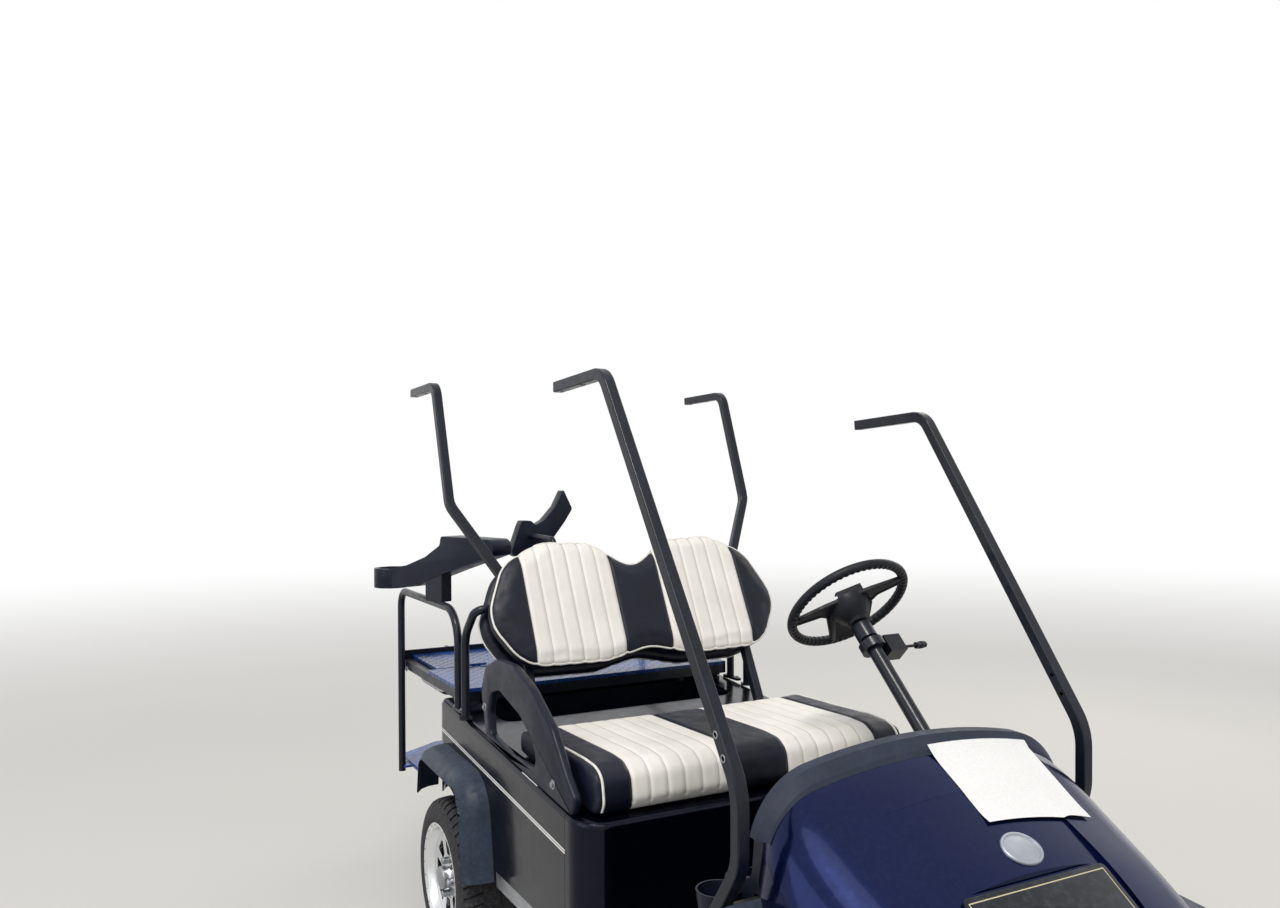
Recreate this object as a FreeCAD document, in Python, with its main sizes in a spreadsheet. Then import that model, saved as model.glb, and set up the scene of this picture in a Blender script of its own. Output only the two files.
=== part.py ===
import FreeCAD, Part

import math
import os

import Sketcher

V = FreeCAD.Vector
doc = FreeCAD.newDocument("golf_cart")

# A four-seat golf cart with a fold-over rear seat, no roof and no windscreen.
# Frame: X across, the driver's side is +X; Y along, the front is -Y; Z up from the ground.
# The origin is on the ground under the middle of the front axle. Millimetres and degrees.

# Driving dimensions: alias, value, what it measures
SIZES = [
    ("wheelbase", 1664, "front axle to rear axle"),
    ("front_track", 960, "between the middles of the front tyres"),
    ("rear_track", 993, "between the middles of the rear tyres"),
    ("tyre_radius", 239, "outside radius of every tyre"),
    ("tyre_width", 215, "section width of every tyre"),
    ("tyre_shoulder", 26, "height of the rounded shoulder of the tread"),
    ("rim_radius", 165, "outside radius of the rim's lip"),
    ("rim_wall", 7, "metal of the rim's barrel"),
    ("rim_dish", 34, "depth of the wheel face behind the lip"),
    ("rim_disc", 9, "thickness of the wheel face"),
    ("rim_boss_radius", 42, "boss behind the wheel face"),
    ("spindle_radius", 17, "stub axle inside the wheel boss"),
    ("running_gap", 0.3, "radial clearance of a shaft in its bore"),
    ("travel_gap", 5.5, "clearance round a part that moves"),
    ("seat_gap", 0.3, "clearance of a part laid on another"),
    ("kingpin_offset", 100, "from the tyre's middle inboard to the kingpin"),
    ("kingpin_radius", 10, "steering pivot"),
    ("knuckle_radius", 20, "upright around the kingpin"),
    ("knuckle_height", 96, "length of the upright"),
    ("steer_arm", 92, "steering arm, kingpin to tie rod eye"),
    ("rail_spacing", 420, "between the middles of the frame rails"),
    ("rail_width", 50, "frame rail"),
    ("rail_height", 68, "frame rail"),
    ("rail_bottom", 265, "underside of the frame rail in front"),
    ("rail_front", 330, "front end of the rails ahead of the front axle"),
    ("rail_rear", 411, "rear end of the rails behind the rear axle"),
    ("rail_kick", 65, "rise of the rails over the rear axle"),
    ("floor_sheet", 12, "floor panel"),
    ("floor_front", 320, "front edge of the floor behind the front axle"),
    ("toe_board_rise", 295, "height of the sloping toe board"),
    ("toe_board_lean", 70, "how far the toe board leans forward"),
    ("body_width", 1046, "outside width of the rear body"),
    ("panel_wall", 5, "moulded body panels"),
    ("pod_front", 765, "front face of the seat pod"),
    ("pod_corner", 85, "plan radius of the pod's front corners"),
    ("side_seam", 873, "seam between pod front and rear body"),
    ("body_rear", 1985, "rear face of the rear body"),
    ("body_rear_corner", 120, "plan radius of the rear corners"),
    ("body_top", 650, "height of the body top at the pod front"),
    ("body_top_slope", 0.0853, "rise of the body top for each unit rearward"),
    ("body_bottom", 345, "lower edge of the rear body"),
    ("body_edge", 20, "radius of the upper edge of the body"),
    ("rocker_height", 42, "bright metal strip below the body side"),
    ("rocker_wall", 9, "thickness of the bright metal strip"),
    ("cushion_width", 970, "front seat cushion"),
    ("cushion_depth", 515, "front seat cushion"),
    ("cushion_height", 105, "front seat cushion"),
    ("cushion_front", 778, "front of the seat cushion"),
    ("back_width", 996, "front and rear seat backs"),
    ("back_height", 404, "front and rear seat backs"),
    ("back_thick", 66, "front seat back"),
    ("rear_back_thick", 54, "rear seat back"),
    ("back_gap", 32, "space for the struts between the two backs"),
    ("back_lean", 26.6, "lean of the seat backs from upright, degrees"),
    ("back_foot_y", 1367, "lower front edge line of the front seat back"),
    ("back_foot_z", 920, "lower front edge line of the front seat back"),
    ("strut_side", 28, "square tube of the roof struts"),
    ("strut_wall", 2.5, "wall of the roof struts"),
    ("front_strut_x", 471, "front struts from the middle plane"),
    ("front_strut_top", 1725, "height of the passenger front strut"),
    ("driver_strut_drop", 88, "how much lower the driver front strut ends"),
    ("rear_strut_x", 551, "tops of the rear struts from the middle plane"),
    ("rear_strut_foot_x", 390, "feet of the rear struts from the middle plane"),
    ("rear_strut_top", 1775, "height of the rear struts"),
    ("strut_hole_radius", 5, "roof and windscreen bolt holes"),
    ("windscreen_hole_rise", 64, "first windscreen hole above the strut's lower bend"),
    ("windscreen_hole_pitch", 48, "between the two windscreen holes"),
    ("kit_tube", 26, "round tube of the rear seat frame"),
    ("kit_x", 514, "side frames from the middle plane"),
    ("kit_front_y", 1730, "front posts of the side frames"),
    ("kit_rear_y", 2420, "rear posts of the side frames"),
    ("kit_rail_z", 1050, "top rail of the side frames"),
    ("deck_top", 797, "top of the rear deck"),
    ("deck_sheet", 12, "thickness of the deck panels"),
    ("deck_front", 1742, "front edge of the deck"),
    ("deck_seam", 2120, "hinge line of the folding deck panel"),
    ("deck_rear", 2450, "rear edge of the deck"),
    ("deck_rail", 30, "rails that carry the deck"),
    ("deck_rail_x", 485, "deck side rails from the middle plane"),
    ("fold_cushion_height", 96, "rear seat cushion under the folding panel"),
    ("armrest_z", 1150, "level that the armrest's outline is measured from"),
    ("foot_plate_top", 400, "rear foot plate"),
    ("foot_plate_sheet", 14, "rear foot plate"),
    ("foot_plate_front", 2240, "rear foot plate"),
    ("foot_plate_rear", 2660, "rear foot plate"),
    ("foot_plate_width", 964, "rear foot plate"),
    ("hip_x", 510, "hip restraint from the middle plane"),
    ("hip_thick", 25, "hip restraint loop"),
    ("cowl_wall", 5, "front cowl shell"),
    ("cowl_splay", 10, "lean of the cowl's sides, degrees"),
    ("dish_half", 198, "half width of the dish in the hood"),
    ("dish_rear", 88, "rear end of the dish behind the front axle"),
    ("dish_depth", 8, "depth of the dish at the nameplate"),
    ("dish_lip", 10, "how far short of its rear end the dish is cut"),
    ("plate_rear", 96, "rear edge of the nameplate ahead of the front axle"),
    ("plate_sink", 23, "nameplate's flat below the crown of the hood"),
    ("plate_slope", 37, "slope of the nameplate, degrees"),
    ("plate_width", 372, "blank nameplate"),
    ("plate_length", 112, "blank nameplate"),
    ("badge_x", 21, "middle of the oval badge"),
    ("badge_y", 53, "middle of the oval badge ahead of the front axle"),
    ("cowl_rear", 205, "rear edge of the cowl behind the front axle"),
    ("cowl_front", 395, "nose of the cowl ahead of the front axle"),
    ("dash_width", 736, "dash panel"),
    ("brow_depth", 62, "dark brow along the rear edge of the cowl"),
    ("brow_height", 24, "dark brow above the cowl"),
    ("brow_foot", 778, "lower ends of the dark brow"),
    ("wheel_arch_gap", 14, "flare set in from the arch edge"),
    ("flare_width", 84, "how far a flare stands out"),
    ("flare_wall", 5, "flare sheet"),
    ("steer_x", 248, "steering column from the middle plane"),
    ("steer_y", 734, "middle of the steering wheel"),
    ("steer_z", 1131, "middle of the steering wheel"),
    ("steer_tilt", 45, "steering column from level, degrees"),
    ("steer_radius", 163, "middle line of the steering wheel rim"),
    ("steer_grip", 12.5, "section radius of the steering wheel rim"),
    ("column_radius", 19, "steering column tube"),
    ("column_shaft", 11, "steering shaft below the dash"),
    ("axle_tube", 38, "radius of the rear axle tube"),
    ("drum_radius", 92, "rear brake drum"),
    ("battery_width", 690, "battery block under the seat"),
    ("battery_depth", 330, "battery block under the seat"),
    ("battery_height", 270, "battery block under the seat"),
]

sheet = doc.addObject("Spreadsheet::Sheet", "sizes")
for row, (alias, value, note) in enumerate(SIZES, start=1):
    sheet.set(f"A{row}", note)
    sheet.set(f"B{row}", str(value))
    sheet.setAlias(f"B{row}", alias)
doc.recompute()


class Size:
    """A length together with the sheet expression that drives it."""

    def __init__(self, value, text):
        self.value = float(value)
        self.text = text

    def _join(self, other, sign, value):
        text = other.text if isinstance(other, Size) else repr(float(other))
        return Size(value, f"({self.text} {sign} {text})")

    def __add__(self, other):
        return self._join(other, "+", self.value + float(other))

    def __sub__(self, other):
        return self._join(other, "-", self.value - float(other))

    def __mul__(self, other):
        return self._join(other, "*", self.value * float(other))

    def __truediv__(self, other):
        return self._join(other, "/", self.value / float(other))

    def __neg__(self):
        return Size(-self.value, f"(0 - {self.text})")

    def __float__(self):
        return self.value


def size(alias):
    return Size(float(sheet.get(alias)), f"sizes.{alias}")


def mm(alias):
    return float(sheet.get(alias))


def bind(obj, prop, value):
    """Set a property and, where the value is a Size, tie it to the sheet."""
    if isinstance(value, Size):
        obj.setExpression(prop, value.text)
    elif "." not in prop:
        setattr(obj, prop, value)


def place(obj, at):
    """Tie the position of an object to the sheet."""
    for axis, value in zip("xyz", at):
        if not isinstance(value, Size):
            value = Size(value, repr(float(value)))
        obj.setExpression(f"Placement.Base.{axis}", value.text)


PARTS = []


def keep(obj, label):
    obj.Label = label
    PARTS.append(obj)
    return obj


# Builders for bodies made from sketches

def new_sketch(body, role, name):
    plane = [item for item in body.Origin.OriginFeatures if item.Role == role][0]
    sketch = body.newObject("Sketcher::SketchObject", name)
    sketch.AttachmentSupport = [(plane, "")]
    sketch.MapMode = "FlatFace"
    return sketch


def polygon(sketch, points):
    """Closed polygon, each corner held by two named distances from the sketch origin."""
    count = len(points)
    first = sketch.GeometryCount
    for i in range(count):
        a = points[i]
        b = points[(i + 1) % count]
        start = V(float(a[0]), float(a[1]), 0)
        end = V(float(b[0]), float(b[1]), 0)
        sketch.addGeometry(Part.LineSegment(start, end), False)
    for i in range(count):
        follower = first + (i + 1) % count
        sketch.addConstraint(Sketcher.Constraint("Coincident", first + i, 2, follower, 1))
    for i, corner in enumerate(points):
        for kind, value in zip(("DistanceX", "DistanceY"), corner):
            where = sketch.addConstraint(
                Sketcher.Constraint(kind, -1, 1, first + i, 1, float(value)))
            name = f"{kind[-1]}{first + i}"
            sketch.renameConstraint(where, name)
            if isinstance(value, Size):
                sketch.setExpression(f"Constraints.{name}", value.text)


def padded_body(label, role, outlines, depth, at=(0, 0, 0), both_ways=True, export=True):
    """Body padded from one or more polygons on an origin plane."""
    body = doc.addObject("PartDesign::Body", f"{label}_body")
    sketch = new_sketch(body, role, f"{label}_outline")
    for outline in outlines:
        polygon(sketch, outline)
    pad = body.newObject("PartDesign::Pad", f"{label}_pad")
    pad.Profile = sketch
    if both_ways:
        pad.SideType = "Symmetric"
    bind(pad, "Length", depth)
    place(body, at)
    if export:
        keep(body, label)
    return body


def turned_body(label, profile, at, export=True, mirror=False):
    """Body turned about X from a polygon of (along X, radius) points."""
    body = doc.addObject("PartDesign::Body", f"{label}_body")
    sketch = new_sketch(body, "XZ_Plane", f"{label}_profile")
    polygon(sketch, [(-x if mirror else x, radius) for x, radius in profile])
    turned = body.newObject("PartDesign::Revolution", f"{label}_turned")
    turned.Profile = sketch
    turned.ReferenceAxis = (sketch, ["H_Axis"])
    turned.Angle = 360
    place(body, at)
    if export:
        keep(body, label)
    return body


# Builders for primitives

def box(name, across, along_y, up):
    """Box from three (low, high) pairs."""
    item = doc.addObject("Part::Box", name)
    lows = []
    for prop, (low, high) in zip(("Length", "Width", "Height"), (across, along_y, up)):
        low = low if isinstance(low, Size) else Size(low, repr(float(low)))
        bind(item, prop, Size(float(high), repr(float(high))) - low
             if not isinstance(high, Size) else high - low)
        lows.append(low)
    place(item, lows)
    return item


def rod(name, radius, length, at, axis):
    """Cylinder whose start is at a point and that runs along an axis."""
    item = doc.addObject("Part::Cylinder", name)
    item.Placement = FreeCAD.Placement(V(), FreeCAD.Rotation(V(0, 0, 1), axis))
    bind(item, "Radius", radius)
    if not isinstance(length, Size):
        length = Size(length, repr(float(length)))
    bind(item, "Height", length)
    place(item, at)
    return item


def fused(label, items):
    whole = doc.addObject("Part::MultiFuse", f"{label}_fused")
    whole.Shapes = items
    whole.Refine = True
    return keep(whole, label)


def cut_from(name, base, tool):
    item = doc.addObject("Part::Cut", name)
    item.Base = base
    item.Tool = tool
    return item


def shaped(label, shape, at=(0, 0, 0), turn=None, export=True):
    """Sub-part whose solid comes from profiles, sweeps and lofts made here."""
    item = doc.addObject("Part::Feature", f"{label}_solid")
    item.Shape = shape
    item.Placement = FreeCAD.Placement(V(*at), turn or FreeCAD.Rotation())
    return keep(item, label) if export else item


# Outlines and paths with tangent arcs

def rounded_edges(corners, closed):
    """Edges through corners (point, radius) with a tangent arc at each corner."""
    count = len(corners)
    ends = []
    for i, (point, radius) in enumerate(corners):
        if not closed and i in (0, count - 1) or radius <= 0:
            ends.append((point, None, point))
            continue
        back = corners[i - 1][0] - point
        ahead = corners[(i + 1) % count][0] - point
        room = 0.49 * min(back.Length, ahead.Length)
        back.normalize()
        ahead.normalize()
        turn = math.pi - back.getAngle(ahead)
        if turn < 1e-4:
            ends.append((point, None, point))
            continue
        # The arc keeps to its own half of each side it joins
        reach = min(radius * math.tan(turn / 2), room)
        radius = reach / math.tan(turn / 2)
        toward = back + ahead
        toward.normalize()
        middle = point + toward * (radius / math.cos(turn / 2) - radius)
        ends.append((point + back * reach, middle, point + ahead * reach))
    edges = []
    for i, (enter, middle, leave) in enumerate(ends):
        if middle is not None:
            edges.append(Part.Arc(enter, middle, leave).toShape())
        if i < count - 1 or closed:
            ahead = ends[(i + 1) % count][0]
            if (ahead - leave).Length > 1e-6:
                edges.append(Part.LineSegment(leave, ahead).toShape())
    return edges


def side_view(y, z, x=0.0):
    return V(x, y, z)


def front_view(x, z, y=0.0):
    return V(x, y, z)


def plan_view(x, y, z=0.0):
    return V(x, y, z)


def outline(points, view, level=0.0):
    """Closed wire from (a, b, radius) points in one view."""
    corners = [(view(a, b, level), radius) for a, b, radius in points]
    return Part.Wire(rounded_edges(corners, True))


def slab(points, view, low, high):
    """Solid between two levels of one view."""
    face = Part.Face(outline(points, view, low))
    step = view(0, 0, high) - view(0, 0, low)
    return face.extrude(step)


def path(points):
    """Open wire from (x, y, z, bend radius) points."""
    return Part.Wire(rounded_edges([(V(x, y, z), r) for x, y, z, r in points], False))


def ring_section(radius, at, way):
    return Part.Wire([Part.Circle(at, way, radius).toShape()])


def square_section(side, at, way, across):
    """Square tube section with small corner radii, one side along across."""
    way = V(way)
    way.normalize()
    right = V(across) - way * V(across).dot(way)
    right.normalize()
    up = way.cross(right)
    half = side / 2
    corners = [(at + right * (a * half) + up * (b * half), side * 0.14)
               for a, b in ((-1, -1), (1, -1), (1, 1), (-1, 1))]
    return Part.Wire(rounded_edges(corners, True))


def swept(route, section):
    solid = route.makePipeShell([section], True, False)
    return solid if solid.ShapeType == "Solid" else Part.Solid(solid)


def round_tube(points, radius):
    route = path(points)
    start = V(*points[0][:3])
    way = V(*points[1][:3]) - start
    return swept(route, ring_section(radius, start, way))


def square_tube(points, side, wall, across=V(1, 0, 0)):
    """Hollow square tube along a bent route, open at both ends."""
    route = path(points)
    start = V(*points[0][:3])
    way = V(*points[1][:3]) - start
    outer = swept(route, square_section(side, start, way, across))
    inner = swept(route, square_section(side - 2 * wall, start, way, across))
    return outer.cut(inner)


def drilled(shape, radius, holes, length):
    """Cut round holes given as (middle point, axis)."""
    for middle, axis in holes:
        axis = V(axis)
        axis.normalize()
        start = middle - axis * (length / 2)
        shape = shape.cut(Part.makeCylinder(radius, length, start, axis))
    return shape


def mirrored(shape):
    return shape.mirror(V(0, 0, 0), V(1, 0, 0))


X_AXIS = V(1, 0, 0)
Y_AXIS = V(0, 1, 0)
Z_AXIS = V(0, 0, 1)
SIDES = (("passenger", -1), ("driver", 1))


def body_top(y):
    """Height of the rear body's sloping top."""
    return mm("body_top") + (y - mm("pod_front")) * mm("body_top_slope")


# Frame rails with the rise over the rear axle, and their cross members

def frame():
    low = size("rail_bottom")
    high = low + size("rail_height")
    kick = size("rail_kick")
    rear = size("wheelbase") + size("rail_rear")
    bend_front = size("wheelbase") - 364
    bend_rear = size("wheelbase") - 224
    outline_points = [
        (-size("rail_front"), low), (bend_front, low), (bend_rear, low + kick),
        (rear, low + kick), (rear, high + kick), (bend_rear - 8, high + kick),
        (bend_front - 8, high), (-size("rail_front"), high)]
    pieces = []
    for side, sign in SIDES:
        rail = padded_body(f"rail_{side}", "YZ_Plane", [outline_points], size("rail_width"),
                           (size("rail_spacing") * (sign / 2), 0, 0), export=False)
        pieces.append(rail)
    half = (size("rail_spacing") + size("rail_width")) / 2
    # Cross members: name, start along Y, size along Y, rise
    for name, start, depth, rise in (("nose", -320, 40, 0), ("middle", 640, 60, 0),
                                     ("pod", 1180, 60, 0), ("tail", 1890, 60, 65)):
        base = low + 12 if rise == 0 else low + kick + 12
        pieces.append(box(f"cross_{name}", (-half, half), (start, start + depth),
                          (base, base + 40)))
    # Stubs carry the nose of the cowl and the bumper
    nose = size("cowl_front") - size("cowl_wall") - size("seat_gap")
    for side, sign in SIDES:
        middle = size("rail_spacing") * (sign / 2)
        pieces.append(box(f"nose_stub_{side}", (middle - 20, middle + 20),
                          (-nose, -size("rail_front") + 1), (low + 4, high - 4)))
    # Outriggers carry the floor and the bright strips
    edge = size("body_width") / 2 - 14
    for name, start in (("front", 420), ("rear", 1120)):
        pieces.append(box(f"outrigger_{name}", (-edge, edge), (start, start + 50),
                          (high - 32, high - 4)))
    fused("frame_rails", pieces)


# Floor with its lip and the sloping toe board

def floor():
    wall = mm("floor_sheet")
    top = mm("rail_bottom") + mm("rail_height") + wall
    front = mm("floor_front")
    lean = mm("toe_board_lean")
    rise = mm("toe_board_rise")
    rear = mm("pod_front") + 60
    half = mm("body_width") / 2 - mm("rocker_wall") - mm("seat_gap")
    points = [(rear, top - wall, 0), (rear, top, 0), (front + wall + 10, top, 30),
              (front - lean + wall, top + rise, 0), (front - lean, top + rise, 0),
              (front, top - wall, 12)]
    solid = slab(points, side_view, -half, half)
    # The toe board is narrower than the floor, so the struts pass beside it
    for low_x in (-half - 1, half - 81):
        solid = solid.cut(Part.makeBox(82, 200, rise + 5, V(low_x, front - 120, top + 3)))
    # Raised tread ribs of the floor mat
    for i in range(9):
        y = front + 90 + i * 36
        rib = Part.makeBox(2 * half - 160, 14, 3, V(-half + 80, y, top))
        solid = solid.fuse(rib)
    hole_way = V(0, math.cos(math.radians(mm("steer_tilt"))),
                 math.sin(math.radians(mm("steer_tilt"))))
    middle = V(mm("steer_x"), mm("steer_y"), mm("steer_z")) - hole_way * 640
    solid = drilled(solid, mm("column_radius") + 8, [(middle, hole_way)], 260)
    shaped("floor_pan", solid.removeSplitter())


def rockers():
    edge = size("body_width") / 2
    top = size("body_bottom") - size("seat_gap")
    pieces = []
    for side, sign in SIDES:
        outer = edge if sign > 0 else -edge + size("rocker_wall")
        pieces.append(box(f"rocker_{side}", (outer - size("rocker_wall"), outer),
                          (size("floor_front"), size("wheelbase") - 300),
                          (top - size("rocker_height"), top)))
    fused("rocker_strips", pieces)


# Rear body: a hollow moulding with a sloping top, cut by the wheel arches

def body_plan(inset):
    half = mm("body_width") / 2 - inset
    front = mm("pod_front") + inset
    rear = mm("body_rear") - inset
    corner = mm("pod_corner") - inset
    tail = mm("body_rear_corner") - inset
    return [(-half, front, corner), (half, front, corner), (half, rear, tail),
            (-half, rear, tail)]


def body_side(inset, low):
    front = mm("pod_front") - 50
    rear = mm("body_rear") + 50
    lean = 70
    return [(front, low, 0), (front, body_top(front) - inset, 0),
            (rear - 50 - lean, body_top(rear - 50 - lean) - inset, 60 - inset),
            (rear, low + 40, 0), (rear, low, 0)]


def rear_arch(grow):
    """Side view of the rear wheel opening: y, z, corner radius."""
    hub = mm("wheelbase")
    low = mm("body_bottom") - 80
    return [(hub - 288 - grow, low, 0), (hub - 236 - grow, 592 + grow, 130 + grow),
            (hub + 236 + grow, 608 + grow, 130 + grow), (hub + 276 + grow, low, 0)]


def body_shell():
    low = mm("body_bottom")
    half = mm("body_width") / 2
    outer = slab(body_plan(0), plan_view, low, 1000).common(
        slab(body_side(0, low), side_view, -half - 20, half + 20))
    top_edges = [edge for edge in outer.Edges
                 if edge.BoundBox.ZMin > mm("body_top") - 25 and edge.BoundBox.ZMax > 0
                 and not (edge.BoundBox.YLength < 1 and edge.BoundBox.YMin > mm("body_rear") - 200)]
    outer = outer.makeFillet(mm("body_edge"), top_edges)
    wall = mm("panel_wall")
    inner = slab(body_plan(wall), plan_view, low - 1, 1000).common(
        slab(body_side(wall, low - 1), side_view, -half, half))
    shell = outer.cut(inner)
    arch = slab(rear_arch(-mm("wheel_arch_gap")), side_view, -half - 60, half + 60)
    # Behind the wheels the body stops higher, clear of the frame rails
    tail = Part.makeBox(2 * half + 40, 600, 300, V(-half - 20, mm("wheelbase"), 130))
    return shell.cut(arch).cut(tail)


def rear_body():
    shell = body_shell()
    seam = mm("side_seam")
    half = mm("body_width") / 2
    # Seat well under the cushion and bag well under the deck: half width, front, rear
    wells = ((430, mm("pod_front") + 75, mm("cushion_front") + 470),
             (420, 1560, mm("body_rear") - 130))
    for reach, front, rear in wells:
        well = slab([(-reach, front, 40), (reach, front, 40), (reach, rear, 40),
                     (-reach, rear, 40)], plan_view, 560, 900)
        shell = shell.cut(well)
    front_part = Part.makeBox(2 * half + 40, seam - 500, 900, V(-half - 20, 500, 100))
    back_part = Part.makeBox(2 * half + 40, 1800, 900, V(-half - 20, seam + 1.5, 100))
    pod = shell.common(front_part)
    # Recessed kick panel across the pod front
    reach = half - 2 * mm("panel_wall") - 60
    kick = slab([(-reach, mm("body_bottom") + 95, 20), (reach, mm("body_bottom") + 95, 20),
                 (reach, mm("body_bottom") + 15, 20), (-reach, mm("body_bottom") + 15, 20)],
                front_view, mm("pod_front") - 5, mm("pod_front") + 2)
    pod = pod.cut(kick)
    shaped("seat_pod_front", pod)
    shaped("rear_body", shell.common(back_part))


def bag_well():
    """Open tray set into the body top behind the seat backs."""
    wall = mm("panel_wall")
    top = body_top(1560)
    rear = mm("body_rear") - 130
    def tray(inset):
        return [(-420 + inset, 1560 + inset, 40 - inset), (420 - inset, 1560 + inset, 40 - inset),
                (420 - inset, rear - inset, 40 - inset), (-420 + inset, rear - inset, 40 - inset)]
    gap = mm("seat_gap")
    outer = slab(tray(gap), plan_view, top - 150, top)
    inner = slab(tray(gap + wall), plan_view, top - 150 + wall, top + 1)
    shaped("bag_well", outer.cut(inner))


# Flares: a curved strip that follows an arch

def flare_strip(route_points, x, reach):
    """Strip swept along a side-view route; the section stands out from the body."""
    corners = [(side_view(y, z, x), r) for y, z, r in route_points]
    route = Part.Wire(rounded_edges(corners, False))
    start = corners[0][0]
    way = corners[1][0] - start
    way.normalize()
    inward = V(0, way.z, -way.y)
    out = V(1, 0, 0)
    wall = mm("flare_wall")
    # Section of the strip: share of the reach, fall toward the wheel
    top = [(0.0, -2.0), (0.45, 2.0), (0.80, 14.0), (1.0, 40.0)]
    under = [(1.0 - wall / reach, 40.0), (0.80 - wall / reach, 14.0 + wall),
             (0.43, 2.0 + wall), (0.0, wall - 2.0)]
    points = [start + out * (a * reach) + inward * b for a, b in top + under]
    section = Part.makePolygon(points + points[:1])
    return swept(route, section)


def flares():
    half = mm("body_width") / 2
    hub = mm("wheelbase")
    gap = mm("seat_gap")
    arch = rear_arch(0)
    low = mm("body_bottom") - 35
    rear_route = [(hub - 282, low, 0), arch[1], arch[2], (hub + 262, low + 140, 0)]
    strip = flare_strip(rear_route, half + gap, mm("flare_width"))
    shaped("rear_flares", Part.makeCompound([strip, mirrored(strip)]))
    start = 404
    front_route = [(-306, 300, 0), (-284, 476, 90), (-120, 556, 120), (62, 574, 110),
                   (178, 676, 0)]
    strip = flare_strip(front_route, start, 600 - start).cut(cowl_loft(-gap, 240))
    shaped("front_flares", Part.makeCompound([strip, mirrored(strip)]))


# Front cowl: a loft through arched sections, hollowed and cut by the wheel openings

# y, half width, crown height, drop of the crown at the side, corner radius
COWL = [
    (mm("cowl_rear"), 398, 908, 62, 150),
    (100, 426, 855, 66, 152),
    (0, 421, 801, 78, 150),
    (-100, 410, 747, 84, 145),
    (-200, 402, 672, 84, 135),
    (-300, 388, 575, 76, 115),
    (-mm("cowl_front"), 368, 460, 60, 90),
]


def arch_edges(y, half, crown, drop, corner, low):
    """Splayed side lines, corner arcs and crown arc of one cowl section."""
    splay = math.radians(mm("cowl_splay"))
    sweep = (half * half + drop * drop) / (2 * drop)
    centre_z = crown - sweep
    corner_x = half - corner
    corner_z = centre_z + math.sqrt((sweep - corner) ** 2 - corner_x ** 2)
    tangent = V(corner_x, 0, corner_z - centre_z) * (sweep / (sweep - corner))
    join_x = tangent.x
    join_z = centre_z + tangent.z
    angle = (math.atan2(join_z - corner_z, join_x - corner_x) + splay) / 2
    mid_x = corner_x + corner * math.cos(angle)
    mid_z = corner_z + corner * math.sin(angle)
    side_x = corner_x + corner * math.cos(splay)
    side_z = corner_z + corner * math.sin(splay)
    foot = side_x + (side_z - low) * math.tan(splay)
    return [
        Part.LineSegment(V(-foot, y, low), V(-side_x, y, side_z)).toShape(),
        Part.Arc(V(-side_x, y, side_z), V(-mid_x, y, mid_z), V(-join_x, y, join_z)).toShape(),
        Part.Arc(V(-join_x, y, join_z), V(0, y, crown), V(join_x, y, join_z)).toShape(),
        Part.Arc(V(join_x, y, join_z), V(mid_x, y, mid_z), V(side_x, y, side_z)).toShape(),
        Part.LineSegment(V(side_x, y, side_z), V(foot, y, low)).toShape(),
    ]


def arch_wire(y, half, crown, drop, corner, low):
    edges = arch_edges(y, half, crown, drop, corner, low)
    ends = [edges[0].Vertexes[0].Point, edges[-1].Vertexes[-1].Point]
    edges.append(Part.LineSegment(*ends).toShape())
    return Part.Wire(edges)


def arch_face(y, half, crown, drop, corner, low):
    return Part.Face(arch_wire(y, half, crown, drop, corner, low))


def cowl_loft(inset, low):
    wires = [arch_wire(y, half - inset, crown - inset, drop, corner - inset, low)
             for y, half, crown, drop, corner in COWL]
    return Part.makeLoft(wires, True, False)


def cowl_at(y):
    """Section values of the cowl between two rows of its table."""
    for rear, front in zip(COWL, COWL[1:]):
        if front[0] <= y <= rear[0]:
            share = (y - rear[0]) / (front[0] - rear[0])
            return [a + (b - a) * share for a, b in zip(rear[1:], front[1:])]
    return list(COWL[0][1:])


def hood_dish(lift):
    """Cowl loft tipped forward, whose top is the floor of the dish in the hood."""
    start = mm("dish_rear")
    depth = mm("dish_depth")
    floor_loft = cowl_loft(-lift, 240)
    floor_loft.rotate(V(0, start, cowl_at(start)[1]), X_AXIS,
                      math.degrees(math.atan2(depth, start + mm("plate_rear"))))
    return floor_loft


def plate_level(y):
    """Height of the nameplate's flat."""
    fall = math.tan(math.radians(mm("plate_slope")))
    return cowl_at(-mm("plate_rear"))[1] - mm("plate_sink") + (y + mm("plate_rear")) * fall


def hood_hollow(sink):
    """Tool for the dish between the hood's two creases and the nameplate's flat."""
    half = mm("dish_half") + sink
    rear = -mm("plate_rear") + sink
    front = -mm("plate_rear") - mm("plate_length") - sink
    rear_end = mm("dish_rear") - mm("dish_lip") + sink
    block = Part.makeBox(2 * half, rear_end - front, 600, V(-half, front, 450))
    floor_loft = hood_dish(0)
    floor_loft.translate(V(0, 0, -sink))
    flat = [(rear, plate_level(rear) - sink, 0), (rear, 1000, 0), (front, 1000, 0),
            (front, plate_level(front) - sink, 0)]
    return block.cut(floor_loft).fuse(slab(flat, side_view, -half + 6, half - 6))


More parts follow.
